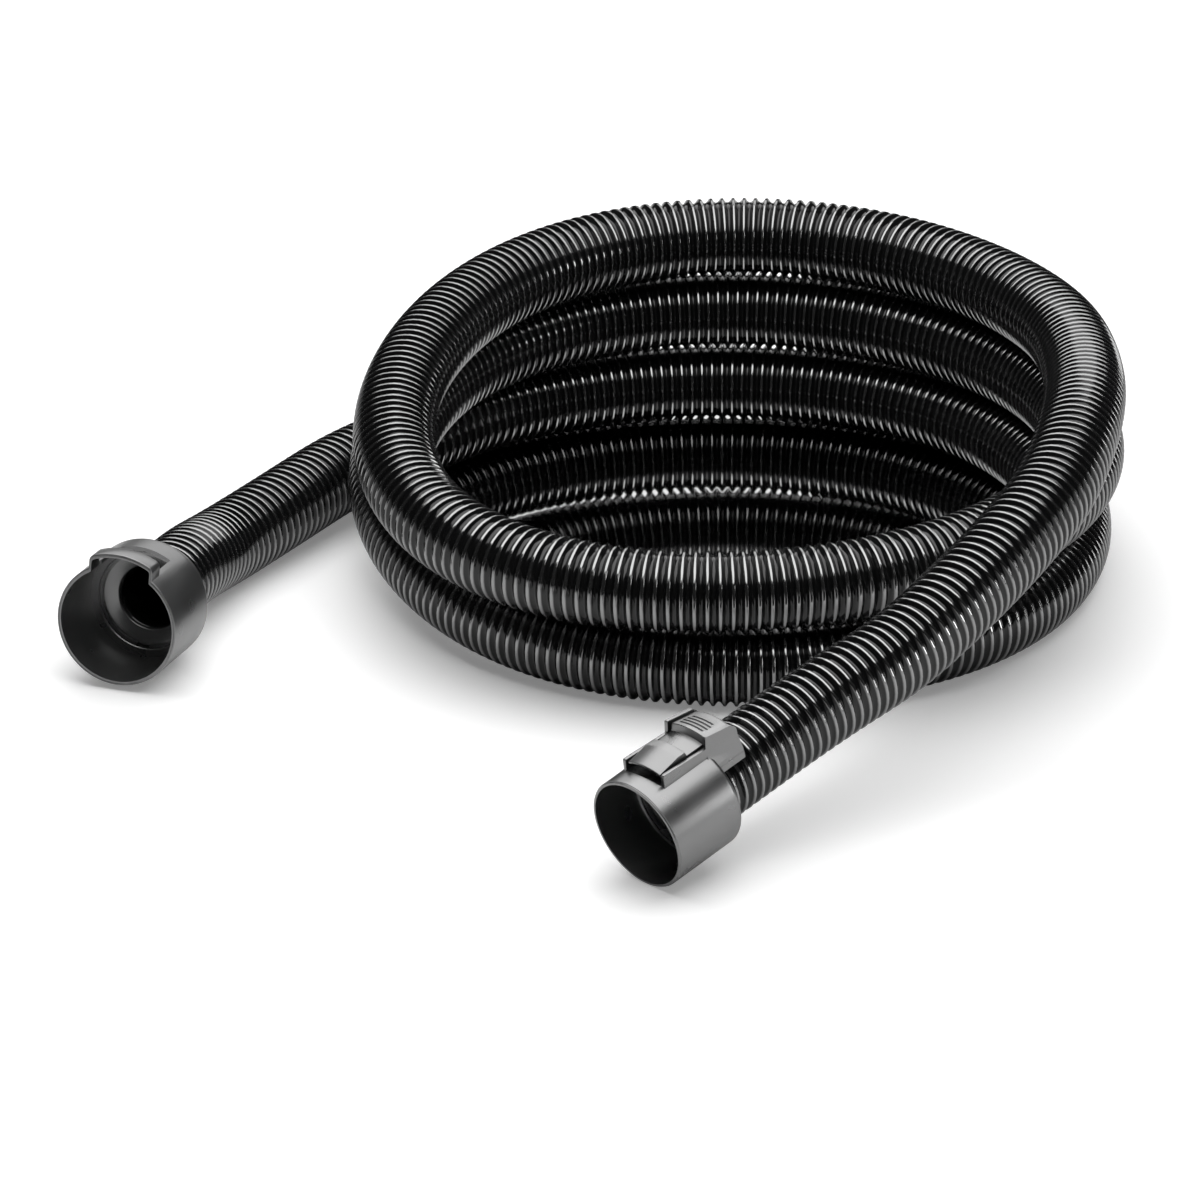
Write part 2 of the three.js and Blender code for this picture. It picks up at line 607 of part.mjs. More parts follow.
// Radius of the button's top, which falls towards the rear
function buttonRadius(z) {
  const t = (z - BUTTON_FRONT_Z) / (BUTTON_REAR_Z - BUTTON_FRONT_Z);
  return THREE.MathUtils.lerp(BUTTON_FRONT_RADIUS, BUTTON_REAR_RADIUS, t);
}

// Hook, waist and button, turned about the fitting's axis and then cut to the lever's width
function latchLever() {
  const rearTop = BUTTON_REAR_Z + BUTTON_REAR_ROUND;
  const turned = solid(revolve([
    [LEVER_UNDERSIDE_RADIUS, BUTTON_REAR_Z],
    ...arc(buttonRadius(rearTop) - BUTTON_REAR_ROUND, rearTop, BUTTON_REAR_ROUND, -80, 0),
    [BUTTON_FRONT_RADIUS, BUTTON_FRONT_Z - BUTTON_EDGE_ROUND],
    [BUTTON_FRONT_RADIUS - BUTTON_EDGE_ROUND, BUTTON_FRONT_Z],
    [LEVER_WAIST_RADIUS, BUTTON_FRONT_Z + BUTTON_FRONT_LEAN],
    [LEVER_WAIST_RADIUS, LEVER_CREST_Z - 2 * EDGE_ROUND],
    [LEVER_CREST_RADIUS, LEVER_CREST_Z],
    [LEVER_CREST_RADIUS, LEVER_RAMP_Z - 5 * EDGE_ROUND],
    [LEVER_CREST_RADIUS - EDGE_ROUND, LEVER_RAMP_Z],
    [LEVER_LIP_RADIUS, LEVER_LIP_Z - EDGE_ROUND],
    [LEVER_LIP_RADIUS - EDGE_ROUND, LEVER_LIP_Z],
    [LEVER_LIP_RADIUS - LEVER_LIP_THICKNESS, LEVER_LIP_Z],
    [LEVER_UNDERSIDE_RADIUS, LEVER_LIP_Z - LEVER_LIP_TAPER],
  ], LEVER_STEPS));
  const bottom = POCKET_FLOOR + CUT;
  const width = box(-LEVER_HALF_WIDTH, LEVER_HALF_WIDTH, bottom, BRIDGE_RADIUS, BUTTON_REAR_Z, LEVER_LIP_Z);
  const block = box(
    -LEVER_HALF_WIDTH,
    LEVER_HALF_WIDTH,
    BUTTON_UNDERSIDE,
    LEVER_UNDERSIDE_RADIUS + EDGE_ROUND,
    BUTTON_REAR_Z + EDGE_ROUND,
    BUTTON_FRONT_Z,
  );
  const bossShape = new THREE.CylinderGeometry(PIN_BOSS_RADIUS, PIN_BOSS_RADIUS, 2 * LEVER_HALF_WIDTH, 16);
  const boss = solid(bossShape.rotateZ(Math.PI / 2).translate(0, PIN_Y, PIN_Z));
  const pinHole = solid(pinGeometry(PIN_RADIUS + FIT, LEVER_HALF_WIDTH + CUT));
  const lever = turned.intersect(width).add(block).add(boss);
  const grooved = GRIP_HALF_WIDTHS.reduce((body, half, i) => body.subtract(gripGroove(half, i)), lever);
  return grooved.subtract(pinHole);
}

// Groove across the button's top, as deep in its middle as at its ends
function gripGroove(half, index) {
  const front = GRIP_FRONT_Z - index * GRIP_PITCH + GRIP_WIDTH / 2;
  const rear = front - GRIP_WIDTH;
  const bottom = buttonRadius((front + rear) / 2) - GRIP_DEPTH;
  const top = BUTTON_FRONT_RADIUS + CUT;
  const ring = solid(revolve([[bottom, rear], [top, rear], [top, front], [bottom, front]], LEVER_STEPS));
  return ring.intersect(box(-half, half, 0, top, rear, front));
}

class Helix extends THREE.Curve {
  getPoint(t, target = new THREE.Vector3()) {
    const angle = TURN * SPRING_TURNS * t;
    const low = POCKET_FLOOR + FIT + SPRING_WIRE_RADIUS;
    const high = BUTTON_UNDERSIDE - FIT - SPRING_WIRE_RADIUS;
    const height = THREE.MathUtils.lerp(low, high, t);
    return target.set(SPRING_RADIUS * Math.cos(angle), height, SPRING_Z + SPRING_RADIUS * Math.sin(angle));
  }
}

function springGeometry() {
  const section = new THREE.Shape();
  section.absarc(0, 0, SPRING_WIRE_RADIUS, 0, TURN);
  const options = { steps: 8 * SPRING_TURNS, extrudePath: new Helix(), curveSegments: 3 };
  return new THREE.ExtrudeGeometry(section, options);
}

// Group of a fitting's pieces, built along its own axis and set down in its place
function placed(frame, pieces) {
  const group = new THREE.Group();
  frame.decompose(group.position, group.quaternion, group.scale);
  pieces.forEach((piece) => group.add(piece));
  return group;
}

const part = new THREE.Group();
part.position.set(COIL_CENTRE[0], COIL_CENTRE[1], 0);

part.add(namedMesh('hose_tail', hoseStretch(0, hose.coilFrom - FIT), hosePlastic));
part.add(namedMesh('hose_coil', hoseStretch(hose.coilFrom, hose.coilTo), hosePlastic));
part.add(namedMesh('hose_sweep', hoseStretch(hose.coilTo + FIT, hose.length), hosePlastic));

part.add(placed(socketFrame, [
  namedMesh('socket_body', geometryOf(socketBody()), fittingPlastic),
  namedMesh('socket_cuff', cuffGeometry(SOCKET_FLANGE_Z, SOCKET_BOSS_Z + FIT), cuffPlastic),
  namedMesh('socket_retaining_ring', ringGeometry(SOCKET_FLANGE_Z), cuffPlastic),
  namedMesh('socket_seal', sealGeometry(SOCKET_FLANGE_Z), sealRubber),
]));

part.add(placed(connectorFrame, [
  namedMesh('connector_body', geometryOf(connectorBody()), fittingPlastic),
  namedMesh('connector_cuff', cuffGeometry(CONNECTOR_FLANGE_Z, CONNECTOR_REAR_Z + FIT), cuffPlastic),
  namedMesh('connector_retaining_ring', ringGeometry(CONNECTOR_FLANGE_Z), cuffPlastic),
  namedMesh('connector_seal', sealGeometry(CONNECTOR_FLANGE_Z), sealRubber),
  namedMesh('latch_lever', geometryOf(latchLever()), fittingPlastic),
  namedMesh('latch_pivot_pin', pinGeometry(PIN_RADIUS, PIN_HALF_LENGTH), steel),
  namedMesh('latch_spring', springGeometry(), steel),
]));

console.log(`hose length ${hose.length.toFixed(0)} mm, least gap to itself ${leastGap().toFixed(2)} mm`);

export default part;
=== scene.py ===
# %% [markdown]
# # A vacuum hose with clip connectors
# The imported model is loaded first, and everything made here is fitted to it: the fittings are set down on
# the axes of its swivels, and the hose follows the route of its solids. Sizes that the model doesn't hand
# over are named values, in millimetres where MM isn't written behind them.

# %% Load the frame
import json
import math
import bmesh
import bpy
import numpy as np
from mathutils import Matrix, Vector


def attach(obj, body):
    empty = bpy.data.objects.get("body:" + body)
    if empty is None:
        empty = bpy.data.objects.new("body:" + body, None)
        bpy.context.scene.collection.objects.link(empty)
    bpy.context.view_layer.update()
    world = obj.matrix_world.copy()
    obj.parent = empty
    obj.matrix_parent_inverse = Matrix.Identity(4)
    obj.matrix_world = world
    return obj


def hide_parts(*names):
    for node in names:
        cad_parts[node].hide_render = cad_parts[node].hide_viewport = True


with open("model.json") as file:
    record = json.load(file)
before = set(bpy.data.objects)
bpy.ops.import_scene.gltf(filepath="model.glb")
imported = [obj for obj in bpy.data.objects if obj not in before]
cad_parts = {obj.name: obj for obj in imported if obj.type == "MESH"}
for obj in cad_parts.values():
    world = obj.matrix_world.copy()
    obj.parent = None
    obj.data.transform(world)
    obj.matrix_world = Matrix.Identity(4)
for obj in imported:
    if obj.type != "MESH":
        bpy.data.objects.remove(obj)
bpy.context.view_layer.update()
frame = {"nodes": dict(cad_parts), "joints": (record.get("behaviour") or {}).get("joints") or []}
MM = 0.001
TURN = 2 * math.pi
joints = {joint["name"]: joint for joint in frame["joints"]}
print("frame holds", len(frame["nodes"]), "nodes")

# %% [markdown]
# ## Camera
# A hose has no straight edge to set a camera by. The three layers of the coil do it instead: the same
# circle is seen at three heights, which fixes the tilt, and the coil's width fixes the distance. The lens
# is long, so near and far strands are almost the same width. The numbers are given about the coil's centre.

# %% Camera
COIL_CENTRE = np.array([-23.8, 71.1, 0.0]) * MM
VIEW_TURN = math.radians(43.5)
VIEW_TILT = math.radians(23.7)
VIEW_DISTANCE = 3.937
AIM_RIGHT = math.radians(-1.006)
AIM_UP = math.radians(-0.328)
FOCAL_PIXELS = 7300
FRAME_PIXELS = 1200
SENSOR_MM = 36
FAR_CLIP = 50


def look_from_coil(turn, tilt):
    """Unit vectors right, up and ahead of a camera that looks at the coil's centre: ahead points down by
    tilt, and the whole set is turned about Z by turn."""
    spin = Matrix.Rotation(turn, 3, "Z")
    right = spin @ Vector((1, 0, 0))
    ahead = spin @ Vector((0, math.cos(tilt), -math.sin(tilt)))
    return right, right.cross(ahead), ahead


def aimed_camera():
    """The camera stands VIEW_DISTANCE back along the view, then turns a little right and up."""
    right, up, ahead = look_from_coil(VIEW_TURN, VIEW_TILT)
    place = Vector(COIL_CENTRE) - ahead * VIEW_DISTANCE
    turned_right = ahead * math.cos(AIM_RIGHT) + right * math.sin(AIM_RIGHT)
    right = right * math.cos(AIM_RIGHT) - ahead * math.sin(AIM_RIGHT)
    aimed = turned_right * math.cos(AIM_UP) + up * math.sin(AIM_UP)
    up = up * math.cos(AIM_UP) - turned_right * math.sin(AIM_UP)
    data = bpy.data.cameras.new("camera")
    data.sensor_width = SENSOR_MM
    data.sensor_fit = "HORIZONTAL"
    data.lens = SENSOR_MM * (FOCAL_PIXELS / FRAME_PIXELS)
    data.clip_end = FAR_CLIP
    camera = bpy.data.objects.new("camera", data)
    basis = Matrix((right, up, -aimed)).transposed().to_4x4()
    camera.matrix_world = Matrix.Translation(place) @ basis
    bpy.context.scene.collection.objects.link(camera)
    bpy.context.scene.camera = camera
    return camera


camera = aimed_camera()
print("lens", round(camera.data.lens), "mm")

# %% [markdown]
# ## The hose's route
# The hose is one piece, 3.6 m long. It comes out of the socket, runs in along the floor, makes two and a
# half turns that climb one layer in each turn, and comes down to the connector. Drawn by hand as one
# curve, the turns could touch each other. So they come from a formula, and only the free stretches from a
# few points. One smooth curve goes through them all.

# %% Smooth curves
def spline(knots, values, places):
    """Natural cubic spline: between two knots the curve is a cubic, and the second derivatives at the
    knots solve a three-band system that makes slope and bend continuous everywhere."""
    knots, values = np.asarray(knots, float), np.asarray(values, float)
    column = (-1, *[1] * (values.ndim - 1))
    gaps = np.diff(knots)
    count = len(knots)
    system = np.eye(count)
    wanted = np.zeros_like(values)
    inner = np.arange(1, count - 1)
    system[inner, inner - 1] = gaps[:-1]
    system[inner, inner] = 2 * (gaps[:-1] + gaps[1:])
    system[inner, inner + 1] = gaps[1:]
    slopes = np.diff(values, axis=0) / gaps.reshape(column)
    wanted[1:-1] = 6 * np.diff(slopes, axis=0)
    bends = np.linalg.solve(system, wanted)
    left = np.clip(np.searchsorted(knots, places, side="right") - 1, 0, count - 2)
    width = gaps[left].reshape(column)
    a = ((knots[left + 1] - places) / gaps[left]).reshape(column)
    b = 1 - a
    straight = a * values[left] + b * values[left + 1]
    return straight + ((a**3 - a) * bends[left] + (b**3 - b) * bends[left + 1]) * width**2 / 6


def ease(t):
    """Smooth step from 0 to 1 with flat ends: t cubed times (10 - 15 t + 6 t squared)."""
    t = np.clip(t, 0, 1)
    return t**3 * (10 - 15 * t + 6 * t * t)


# %% Turns of the coil
HOSE_RADIUS = 22 * MM
COIL_START_ANGLE = 223.5
COIL_FIRST_TURN = 0.09
COIL_LAST_TURN = 2.5
COIL_STEPS_PER_TURN = 24
LAYER_RISE = 44.4
CLIMB_START = 0.76
CLIMB_TURNS = 0.45
RADII_PER_TURN = 8
COIL_RADII = [
    217, 205, 198, 193, 184, 189, 186, 181,
    182, 190, 196, 191, 190, 189, 195, 196,
    176, 175, 193, 188, 188, 191,
]


def coil_points(turns):
    """Centre of the hose after so many turns: the angle falls by 360 degrees a turn, the radius is a
    spline through its values at eighths of a turn, and the height rises by a layer in each climb."""
    radius = spline(np.arange(len(COIL_RADII)) / RADII_PER_TURN, COIL_RADII, turns)
    angle = np.radians(COIL_START_ANGLE - 360 * turns)
    climb = ease((turns - CLIMB_START) / CLIMB_TURNS) + ease((turns - CLIMB_START - 1) / CLIMB_TURNS)
    height = HOSE_RADIUS / MM + LAYER_RISE * climb
    return np.stack([radius * np.cos(angle), radius * np.sin(angle), height], -1)


# %% Ends in the fittings
SOCKET_FLANGE = 43.2 * MM
CONNECTOR_FLANGE = 30.6 * MM
SOCKET_ROLL = math.radians(4.5)
CONNECTOR_ROLL = math.radians(0.5)
HOSE_END_BEHIND_FLANGE = 4.9 * MM
STRAIGHT_END = 48 * MM


def fitting_axes(joint_name, flange, roll):
    """Mouth's centre and the unit vectors to the side, to the latch and out of the mouth. The roll turns
    the first two about the third, clockwise as seen from in front."""
    out = np.array(joints[joint_name]["axis"], float)
    mouth = np.array(joints[joint_name]["pos_m"], float) + flange * out
    level = np.cross([0, 0, 1], out)
    level /= np.linalg.norm(level)
    upright = np.cross(out, level)
    side = level * math.cos(roll) - upright * math.sin(roll)
    return mouth, side, np.cross(out, side), out


def straight_end(axes, flange):
    """Three points from the hose's end face back along the fitting's axis."""
    mouth, _, _, out = axes
    depths = flange + HOSE_END_BEHIND_FLANGE + STRAIGHT_END * np.array([0, 0.5, 1])
    return mouth - depths[:, None] * out


socket_axes = fitting_axes("socket_swivel", SOCKET_FLANGE, SOCKET_ROLL)
connector_axes = fitting_axes("connector_swivel", CONNECTOR_FLANGE, CONNECTOR_ROLL)
print("socket's mouth", socket_axes[0].round(3), "connector's mouth", connector_axes[0].round(3))

# %% Whole route
TAIL_POINTS = [(-170, -218, 23), (-181, -176, 22), (-191, -136, 22), (-200, -96, 22)]
SWEEP_POINTS = [
    (171, 92, 112), (200, 51, 110), (222, 10, 103), (235, -30, 95),
    (243, -69, 86), (248, -106, 77), (250, -142, 68), (249, -180, 61),
]
ROUTE_POINTS = 8001


def hose_route():
    """Route as closely spaced points, the distance run at each of them, and the distances at which the
    coil starts and ends. The spline's knots are the points' own distances along straight lines."""
    coil_turns = COIL_LAST_TURN - COIL_FIRST_TURN
    turns = np.linspace(COIL_FIRST_TURN, COIL_LAST_TURN, round(coil_turns * COIL_STEPS_PER_TURN) + 1)
    coil = coil_points(turns) * MM + COIL_CENTRE
    tail, sweep = [np.array(points, float) * MM + COIL_CENTRE for points in (TAIL_POINTS, SWEEP_POINTS)]
    head = straight_end(socket_axes, SOCKET_FLANGE)
    foot = straight_end(connector_axes, CONNECTOR_FLANGE)[::-1]
    points = np.concatenate([head, tail, coil, sweep, foot])
    knots = np.concatenate([[0], np.cumsum(np.linalg.norm(np.diff(points, axis=0), axis=1))])
    places = np.linspace(0, knots[-1], ROUTE_POINTS)
    fine = spline(knots, points, places)
    run = np.concatenate([[0], np.cumsum(np.linalg.norm(np.diff(fine, axis=0), axis=1))])
    coil_first = len(head) + len(tail)
    coil_last = coil_first + len(coil) - 1
    return fine, run, *np.interp(knots[[coil_first, coil_last]], places, run)


route, route_run, coil_from, coil_to = hose_route()
hose_length = route_run[-1]
print("hose length", round(hose_length, 3), "m, coil from", round(coil_from, 3), "to", round(coil_to, 3))

# %% [markdown]
# ## Meshes from arrays
# Every new piece is made of points worked out with numpy. These helpers put a grid of points, or a list
# of faces, into a mesh whose object stays at the origin.

# %% Mesh helpers
def link(name, mesh):
    """Object with that mesh, at the origin."""
    piece = bpy.data.objects.new(name, mesh)
    bpy.context.scene.collection.objects.link(piece)
    return piece


def mesh_of_quads(name, points, quads, uv):
    """Mesh from points and four-cornered faces, smooth all over, with one UV pair per point."""
    mesh = bpy.data.meshes.new(name)
    mesh.vertices.add(len(points))
    mesh.vertices.foreach_set("co", np.ascontiguousarray(points, np.float32).ravel())
    mesh.loops.add(quads.size)
    mesh.loops.foreach_set("vertex_index", np.ascontiguousarray(quads, np.int32).ravel())
    mesh.polygons.add(len(quads))
    mesh.polygons.foreach_set("loop_start", np.arange(0, quads.size, 4, dtype=np.int32))
    mesh.update(calc_edges=True)
    mesh.shade_smooth()
    layer = mesh.uv_layers.new(name="along")
    layer.data.foreach_set("uv", np.ascontiguousarray(uv[quads.ravel()], np.float32).ravel())
    mesh.validate()
    return mesh


def loop_quads(rings, steps, closed):
    """Faces of a grid of rings, each ring closed on itself: corner k of ring i meets corner k + 1 and the
    same two corners of ring i + 1. With closed, the last ring meets the first."""
    i = np.arange(rings if closed else rings - 1)[:, None]
    k = np.arange(steps)[None, :]
    after, ahead = (i + 1) % rings, (k + 1) % steps
    quads = np.stack([i * steps + k, i * steps + ahead, after * steps + ahead, after * steps + k], -1)
    return quads.reshape(-1, 4)


# %% [markdown]
# ## The ribbed wall
# The real hose is a plastic tube with about six hundred narrow ribs, one every 6 mm. A texture would keep
# a smooth outline, so the ribs are real geometry: a circle is carried along the route, and its radius
# rises to each rib and falls to a round groove. Inside runs a plain bore.

# %% Where the ribs stand
RIB_PITCH = 5.896 * MM
RIBS_PER_TURN = 202.5


def ribs_passed():
    """How many ribs are passed up to each point of the route. On the free stretches the ribs stand one
    pitch apart. In the coil they stand at equal angles, with half a rib over in each turn, so that the
    ribs of one turn face the grooves of the turn below."""
    angle = np.unwrap(np.arctan2(route[:, 1] - COIL_CENTRE[1], route[:, 0] - COIL_CENTRE[0]))
    by_angle = -np.diff(angle) / TURN * RIBS_PER_TURN
    by_distance = np.diff(route_run) / RIB_PITCH
    in_coil = (route_run[1:] > coil_from) & (route_run[1:] < coil_to)
    return np.append(0, np.cumsum(np.where(in_coil, by_angle, by_distance)))


rib_count = ribs_passed()
print("ribs", round(rib_count[-1], 1))

# %% Shape of a rib
RIB_DEPTH = 2.8 * MM
RIB_HALF_WIDTH = 1.2 * MM
RIB_POWER = 2.8
WAVE_SHARE = 0.5
CREASE_DEPTH = 0.3 * MM
CREASE_HALF_WIDTH = 0.34 * MM
CREST = 0.5


def rib_radius(passed):
    """Radius over the ribs: a narrow rib that falls off as one over one plus a power of the distance from
    its middle over its half width, mixed with a cosine wave of one rib pitch that rounds the groove. A
    bell-shaped crease runs along the crest, so each rib carries two edges. The crests lie at half counts."""
    aside = np.abs(passed % 1 - CREST) * RIB_PITCH
    narrow = 1 / (1 + (aside / RIB_HALF_WIDTH) ** RIB_POWER)
    wave = (1 + np.cos(TURN * aside / RIB_PITCH)) / 2
    crease = CREASE_DEPTH * np.exp(-((aside / CREASE_HALF_WIDTH) ** 2))
    return HOSE_RADIUS - RIB_DEPTH * (1 - (1 - WAVE_SHARE) * narrow - WAVE_SHARE * wave) - crease


# %% Rings round the route
ROUND_STEPS = 40
LOOK_ALONG = 0.5 * MM


def on_route(distances):
    """Points on the route at those distances along it."""
    return np.stack([np.interp(distances, route_run, route[:, i]) for i in range(3)], -1)


def rings_along(distances, radii):
    """Circles round the route: centre plus radius times cosine and sine along two directions square to
    the route, the first of them level."""
    along = on_route(distances + LOOK_ALONG) - on_route(distances - LOOK_ALONG)
    along /= np.linalg.norm(along, axis=1, keepdims=True)
    side = np.cross([0, 0, 1], along)
    side /= np.linalg.norm(side, axis=1, keepdims=True)
    up = np.cross(along, side)
    angles = TURN * np.arange(ROUND_STEPS) / ROUND_STEPS
    outward = np.cos(angles)[:, None] * side[:, None] + np.sin(angles)[:, None] * up[:, None]
    return on_route(distances)[:, None] + radii[:, None, None] * outward


# %% Ribbed hose pieces
BORE_RADIUS = 17.5 * MM
TURN_PIECES = 3
STATIONS_BEFORE_CREST = np.array([-0.5, -0.38, -0.27, -0.19, -0.13, -0.085, -0.045])
RIB_STATIONS = np.concatenate([STATIONS_BEFORE_CREST, [0], -STATIONS_BEFORE_CREST[:0:-1]])
RINGS_PER_RIB = len(RIB_STATIONS)


def hose_piece(name, first, last):
    """Closed tube from the first to the last of these ribs: ribbed rings outside, at the stations of each
    rib, then the bore's rings back. Its UV map holds the turn round the hose and the rib count."""
    ribs = round(last - first)
    marks = np.append((np.arange(ribs)[:, None] + CREST + RIB_STATIONS).ravel(), ribs)
    bore_marks = marks[::RINGS_PER_RIB][::-1]
    distances = np.interp(first + (last - first) * marks / ribs, rib_count, route_run)
    outer = rings_along(distances, rib_radius(marks))
    inner = rings_along(distances[::RINGS_PER_RIB][::-1], np.full(len(bore_marks), BORE_RADIUS))
    rings = np.concatenate([outer, inner])
    turn = np.arange(ROUND_STEPS) / ROUND_STEPS
    count = np.concatenate([marks, bore_marks])
    uv = np.stack(np.broadcast_arrays(turn[None, :], count[:, None]), -1)
    quads = loop_quads(len(rings), ROUND_STEPS, closed=True)
    piece = link(name, mesh_of_quads(name, rings.reshape(-1, 3), quads, uv.reshape(-1, 2)))
    print(name, ribs, "ribs", 2 * len(quads), "triangles")
    return piece, on_route(distances)


even_cuts = np.array([0, *np.linspace(coil_from, coil_to, TURN_PIECES + 1), hose_length])
rib_cuts = np.interp(even_cuts, route_run, rib_count)
rib_cuts[1:-1] = np.round(rib_cuts[1:-1])
cuts = np.interp(rib_cuts, rib_count, route_run)
hose_names = ["tail", *[f"turn_{i + 1}" for i in range(TURN_PIECES)], "sweep"]
hose_pieces = [
    hose_piece(f"ribbed_{part}", first, last)
    for part, first, last in zip(hose_names, rib_cuts[:-1], rib_cuts[1:])
]

# %% [markdown]
# ## Fittings
# Each fitting is moulded plastic, so it is put together as its mould is: turned shapes along the swivel's
# axis, outlines carried straight through with softened edges, and pockets cut out of both. Everything is
# drawn in millimetres along the fitting's own axis and set down by one matrix.

# %% Outlines
def arc(centre_a, centre_b, radius, start, end, steps=8):
    """Points on a circle from one angle to another, in degrees."""
    angles = np.radians(np.linspace(start, end, steps + 1))
    return [(centre_a + radius * math.cos(t), centre_b + radius * math.sin(t)) for t in angles]


def oblong(left, right, foot, top):
    """Four corners of a rectangle."""
    return [(left, foot), (right, foot), (right, top), (left, top)]


def mirrored(points):
    """Outline of these points and, in reverse order, their mirror images at a = 0."""
    return [*points, *[(-a, b) for a, b in reversed(points)]]


# %% Solids for moulded pieces
ROUND_ROD, ROUND_FINE, ROUND_FINEST = 32, 144, 288
SOFT_EDGE, SOFT_STEPS = 0.45, 3
LEAST_CORNER = 0.3
MERGE_WITHIN = 1e-5
SIDEWAYS, UPWARDS, OUTWARDS = [2, 1, 0], [0, 2, 1], [0, 1, 2]


def settled(name, mesh):
    """Merges double points and turns every face outwards."""
    work = bmesh.new()
    work.from_mesh(mesh)
    bmesh.ops.remove_doubles(work, verts=work.verts, dist=MERGE_WITHIN)
    bmesh.ops.recalc_face_normals(work, faces=work.faces)
    work.to_mesh(mesh)
    work.free()
    return link(name, mesh)


def turned(name, profile, steps=ROUND_FINE):
    """Revolves a closed (radius, z) section about the z axis: each point becomes a ring of steps points
    at radius times cosine and sine. Points on the axis become one point each."""
    profile = np.array(profile, float)
    angles = TURN * np.arange(steps) / steps
    ring = np.stack([np.cos(angles), np.sin(angles)], -1)
    heights = np.broadcast_to(profile[:, None, 1:], (len(profile), steps, 1))
    points = np.concatenate([profile[:, None, :1] * ring[None], heights], -1).reshape(-1, 3)
    on_axis = profile[:, 0] == 0
    quads = loop_quads(len(profile), steps, closed=not on_axis.any())
    mesh = bpy.data.meshes.new(name)
    mesh.from_pydata(points.tolist(), [], quads.tolist())
    return settled(name, mesh)


def prism(name, outline, low, high, place, edge=0):
    """Carries an (a, b) outline from low to high. Near both ends it draws in by the softened edge along a
    quarter circle, and place says which of a, b and height become x, y and z."""
    outline = np.array(outline, float)
    area = np.sum(outline[:, 0] * np.roll(outline[:, 1], -1) - outline[:, 1] * np.roll(outline[:, 0], -1))
    if area < 0:
        outline = outline[::-1]
    ahead = np.roll(outline, -1, 0) - outline
    ahead /= np.linalg.norm(ahead, axis=1, keepdims=True)
    outward = np.stack([ahead[:, 1], -ahead[:, 0]], -1)
    corner = outward + np.roll(outward, 1, 0)
    corner /= np.maximum(np.sum(corner * outward, 1, keepdims=True), LEAST_CORNER)
    bow = np.radians(np.linspace(0, 90, SOFT_STEPS + 1)) if edge else np.zeros(1)
    draw = edge * (1 - np.sin(bow))
    lift = edge * (1 - np.cos(bow))
    sections = [(low + lift[i], draw[i]) for i in range(len(bow))]
    sections += [(high - lift[i], draw[i]) for i in reversed(range(len(bow)))]
    count = len(outline)
    points = np.concatenate(
        [np.concatenate([outline - corner * d, np.full((count, 1), h)], 1) for h, d in sections]
    )
    quads = loop_quads(len(sections), count, closed=False).tolist()
    caps = [list(range(count))[::-1], [(len(sections) - 1) * count + i for i in range(count)]]
    mesh = bpy.data.meshes.new(name)
    mesh.from_pydata(points[:, place].tolist(), [], quads + caps)
    return settled(name, mesh)


# %% Joining, cutting and setting down
SHARP_ANGLE = math.radians(32)


def combined(base, *steps):
    """Joins or cuts base with each (how, tool) in turn. The tools are deleted."""
    for how, tool in steps:
        modifier = base.modifiers.new("step", "BOOLEAN")
        modifier.operation = how
        modifier.solver = "MANIFOLD"
        modifier.object = tool
        bpy.context.view_layer.update()
        view = bpy.context.evaluated_depsgraph_get()
        mesh = bpy.data.meshes.new_from_object(base.evaluated_get(view))
        base.modifiers.clear()
        base.data = mesh
        bpy.data.objects.remove(tool)
    return base


def ring_piece(name, section, half):
    """Ring of that (radius, z) section about the axis, of which the part within half of the upright
    plane and above the axis is kept."""
    depths = [z for _, z in section]
    reach = max(radius for radius, _ in section) + 1
    keep = prism("keep", oblong(-half, half, 0, reach), min(depths) - 1, max(depths) + 1, OUTWARDS)
    return combined(turned(name, section, ROUND_FINEST), ("INTERSECT", keep))


def set_down(piece, axes):
    """Puts a piece drawn in millimetres in its place along the fitting's axes, in metres."""
    mouth, side, up, out = axes
    place = Matrix.Identity(4)
    for column, vector in enumerate((side, up, out)):
        for row in range(3):
            place[row][column] = vector[row] * MM
    for row in range(3):
        place[row][3] = mouth[row]
    piece.data.transform(place)
    piece.data.shade_smooth()
    piece.data.set_sharp_from_angle(angle=SHARP_ANGLE)
    print(piece.name, len(piece.data.polygons), "faces")
    return piece


# %% [markdown]
# ## Cuff, in both fittings
# The hose is screwed into a cuff whose flange turns inside the fitting. From the mouth only its cone and
# the rounded lip round the air way can be seen. It is round all over, so one turned section makes it.

# %% Cuffs
SLEEVE_INNER, SLEEVE_OUTER = 22.3, 24.6
SOCKET_SLEEVE_END, CONNECTOR_SLEEVE_END = -55.7, -44.9
CUFF_FLANGE_RADIUS, CUFF_FLANGE_THICKNESS, CUFF_FLANGE_EDGE = 26.4, 2.4, 0.3
LIP_RADIUS, LIP_ROUND, LIP_ROUND_DEPTH, LIP_DEPTH = 17.5, 1.3, 3.6, 4.6
SOCKET_FLANGE_Z, CONNECTOR_FLANGE_Z = -SOCKET_FLANGE / MM, -CONNECTOR_FLANGE / MM


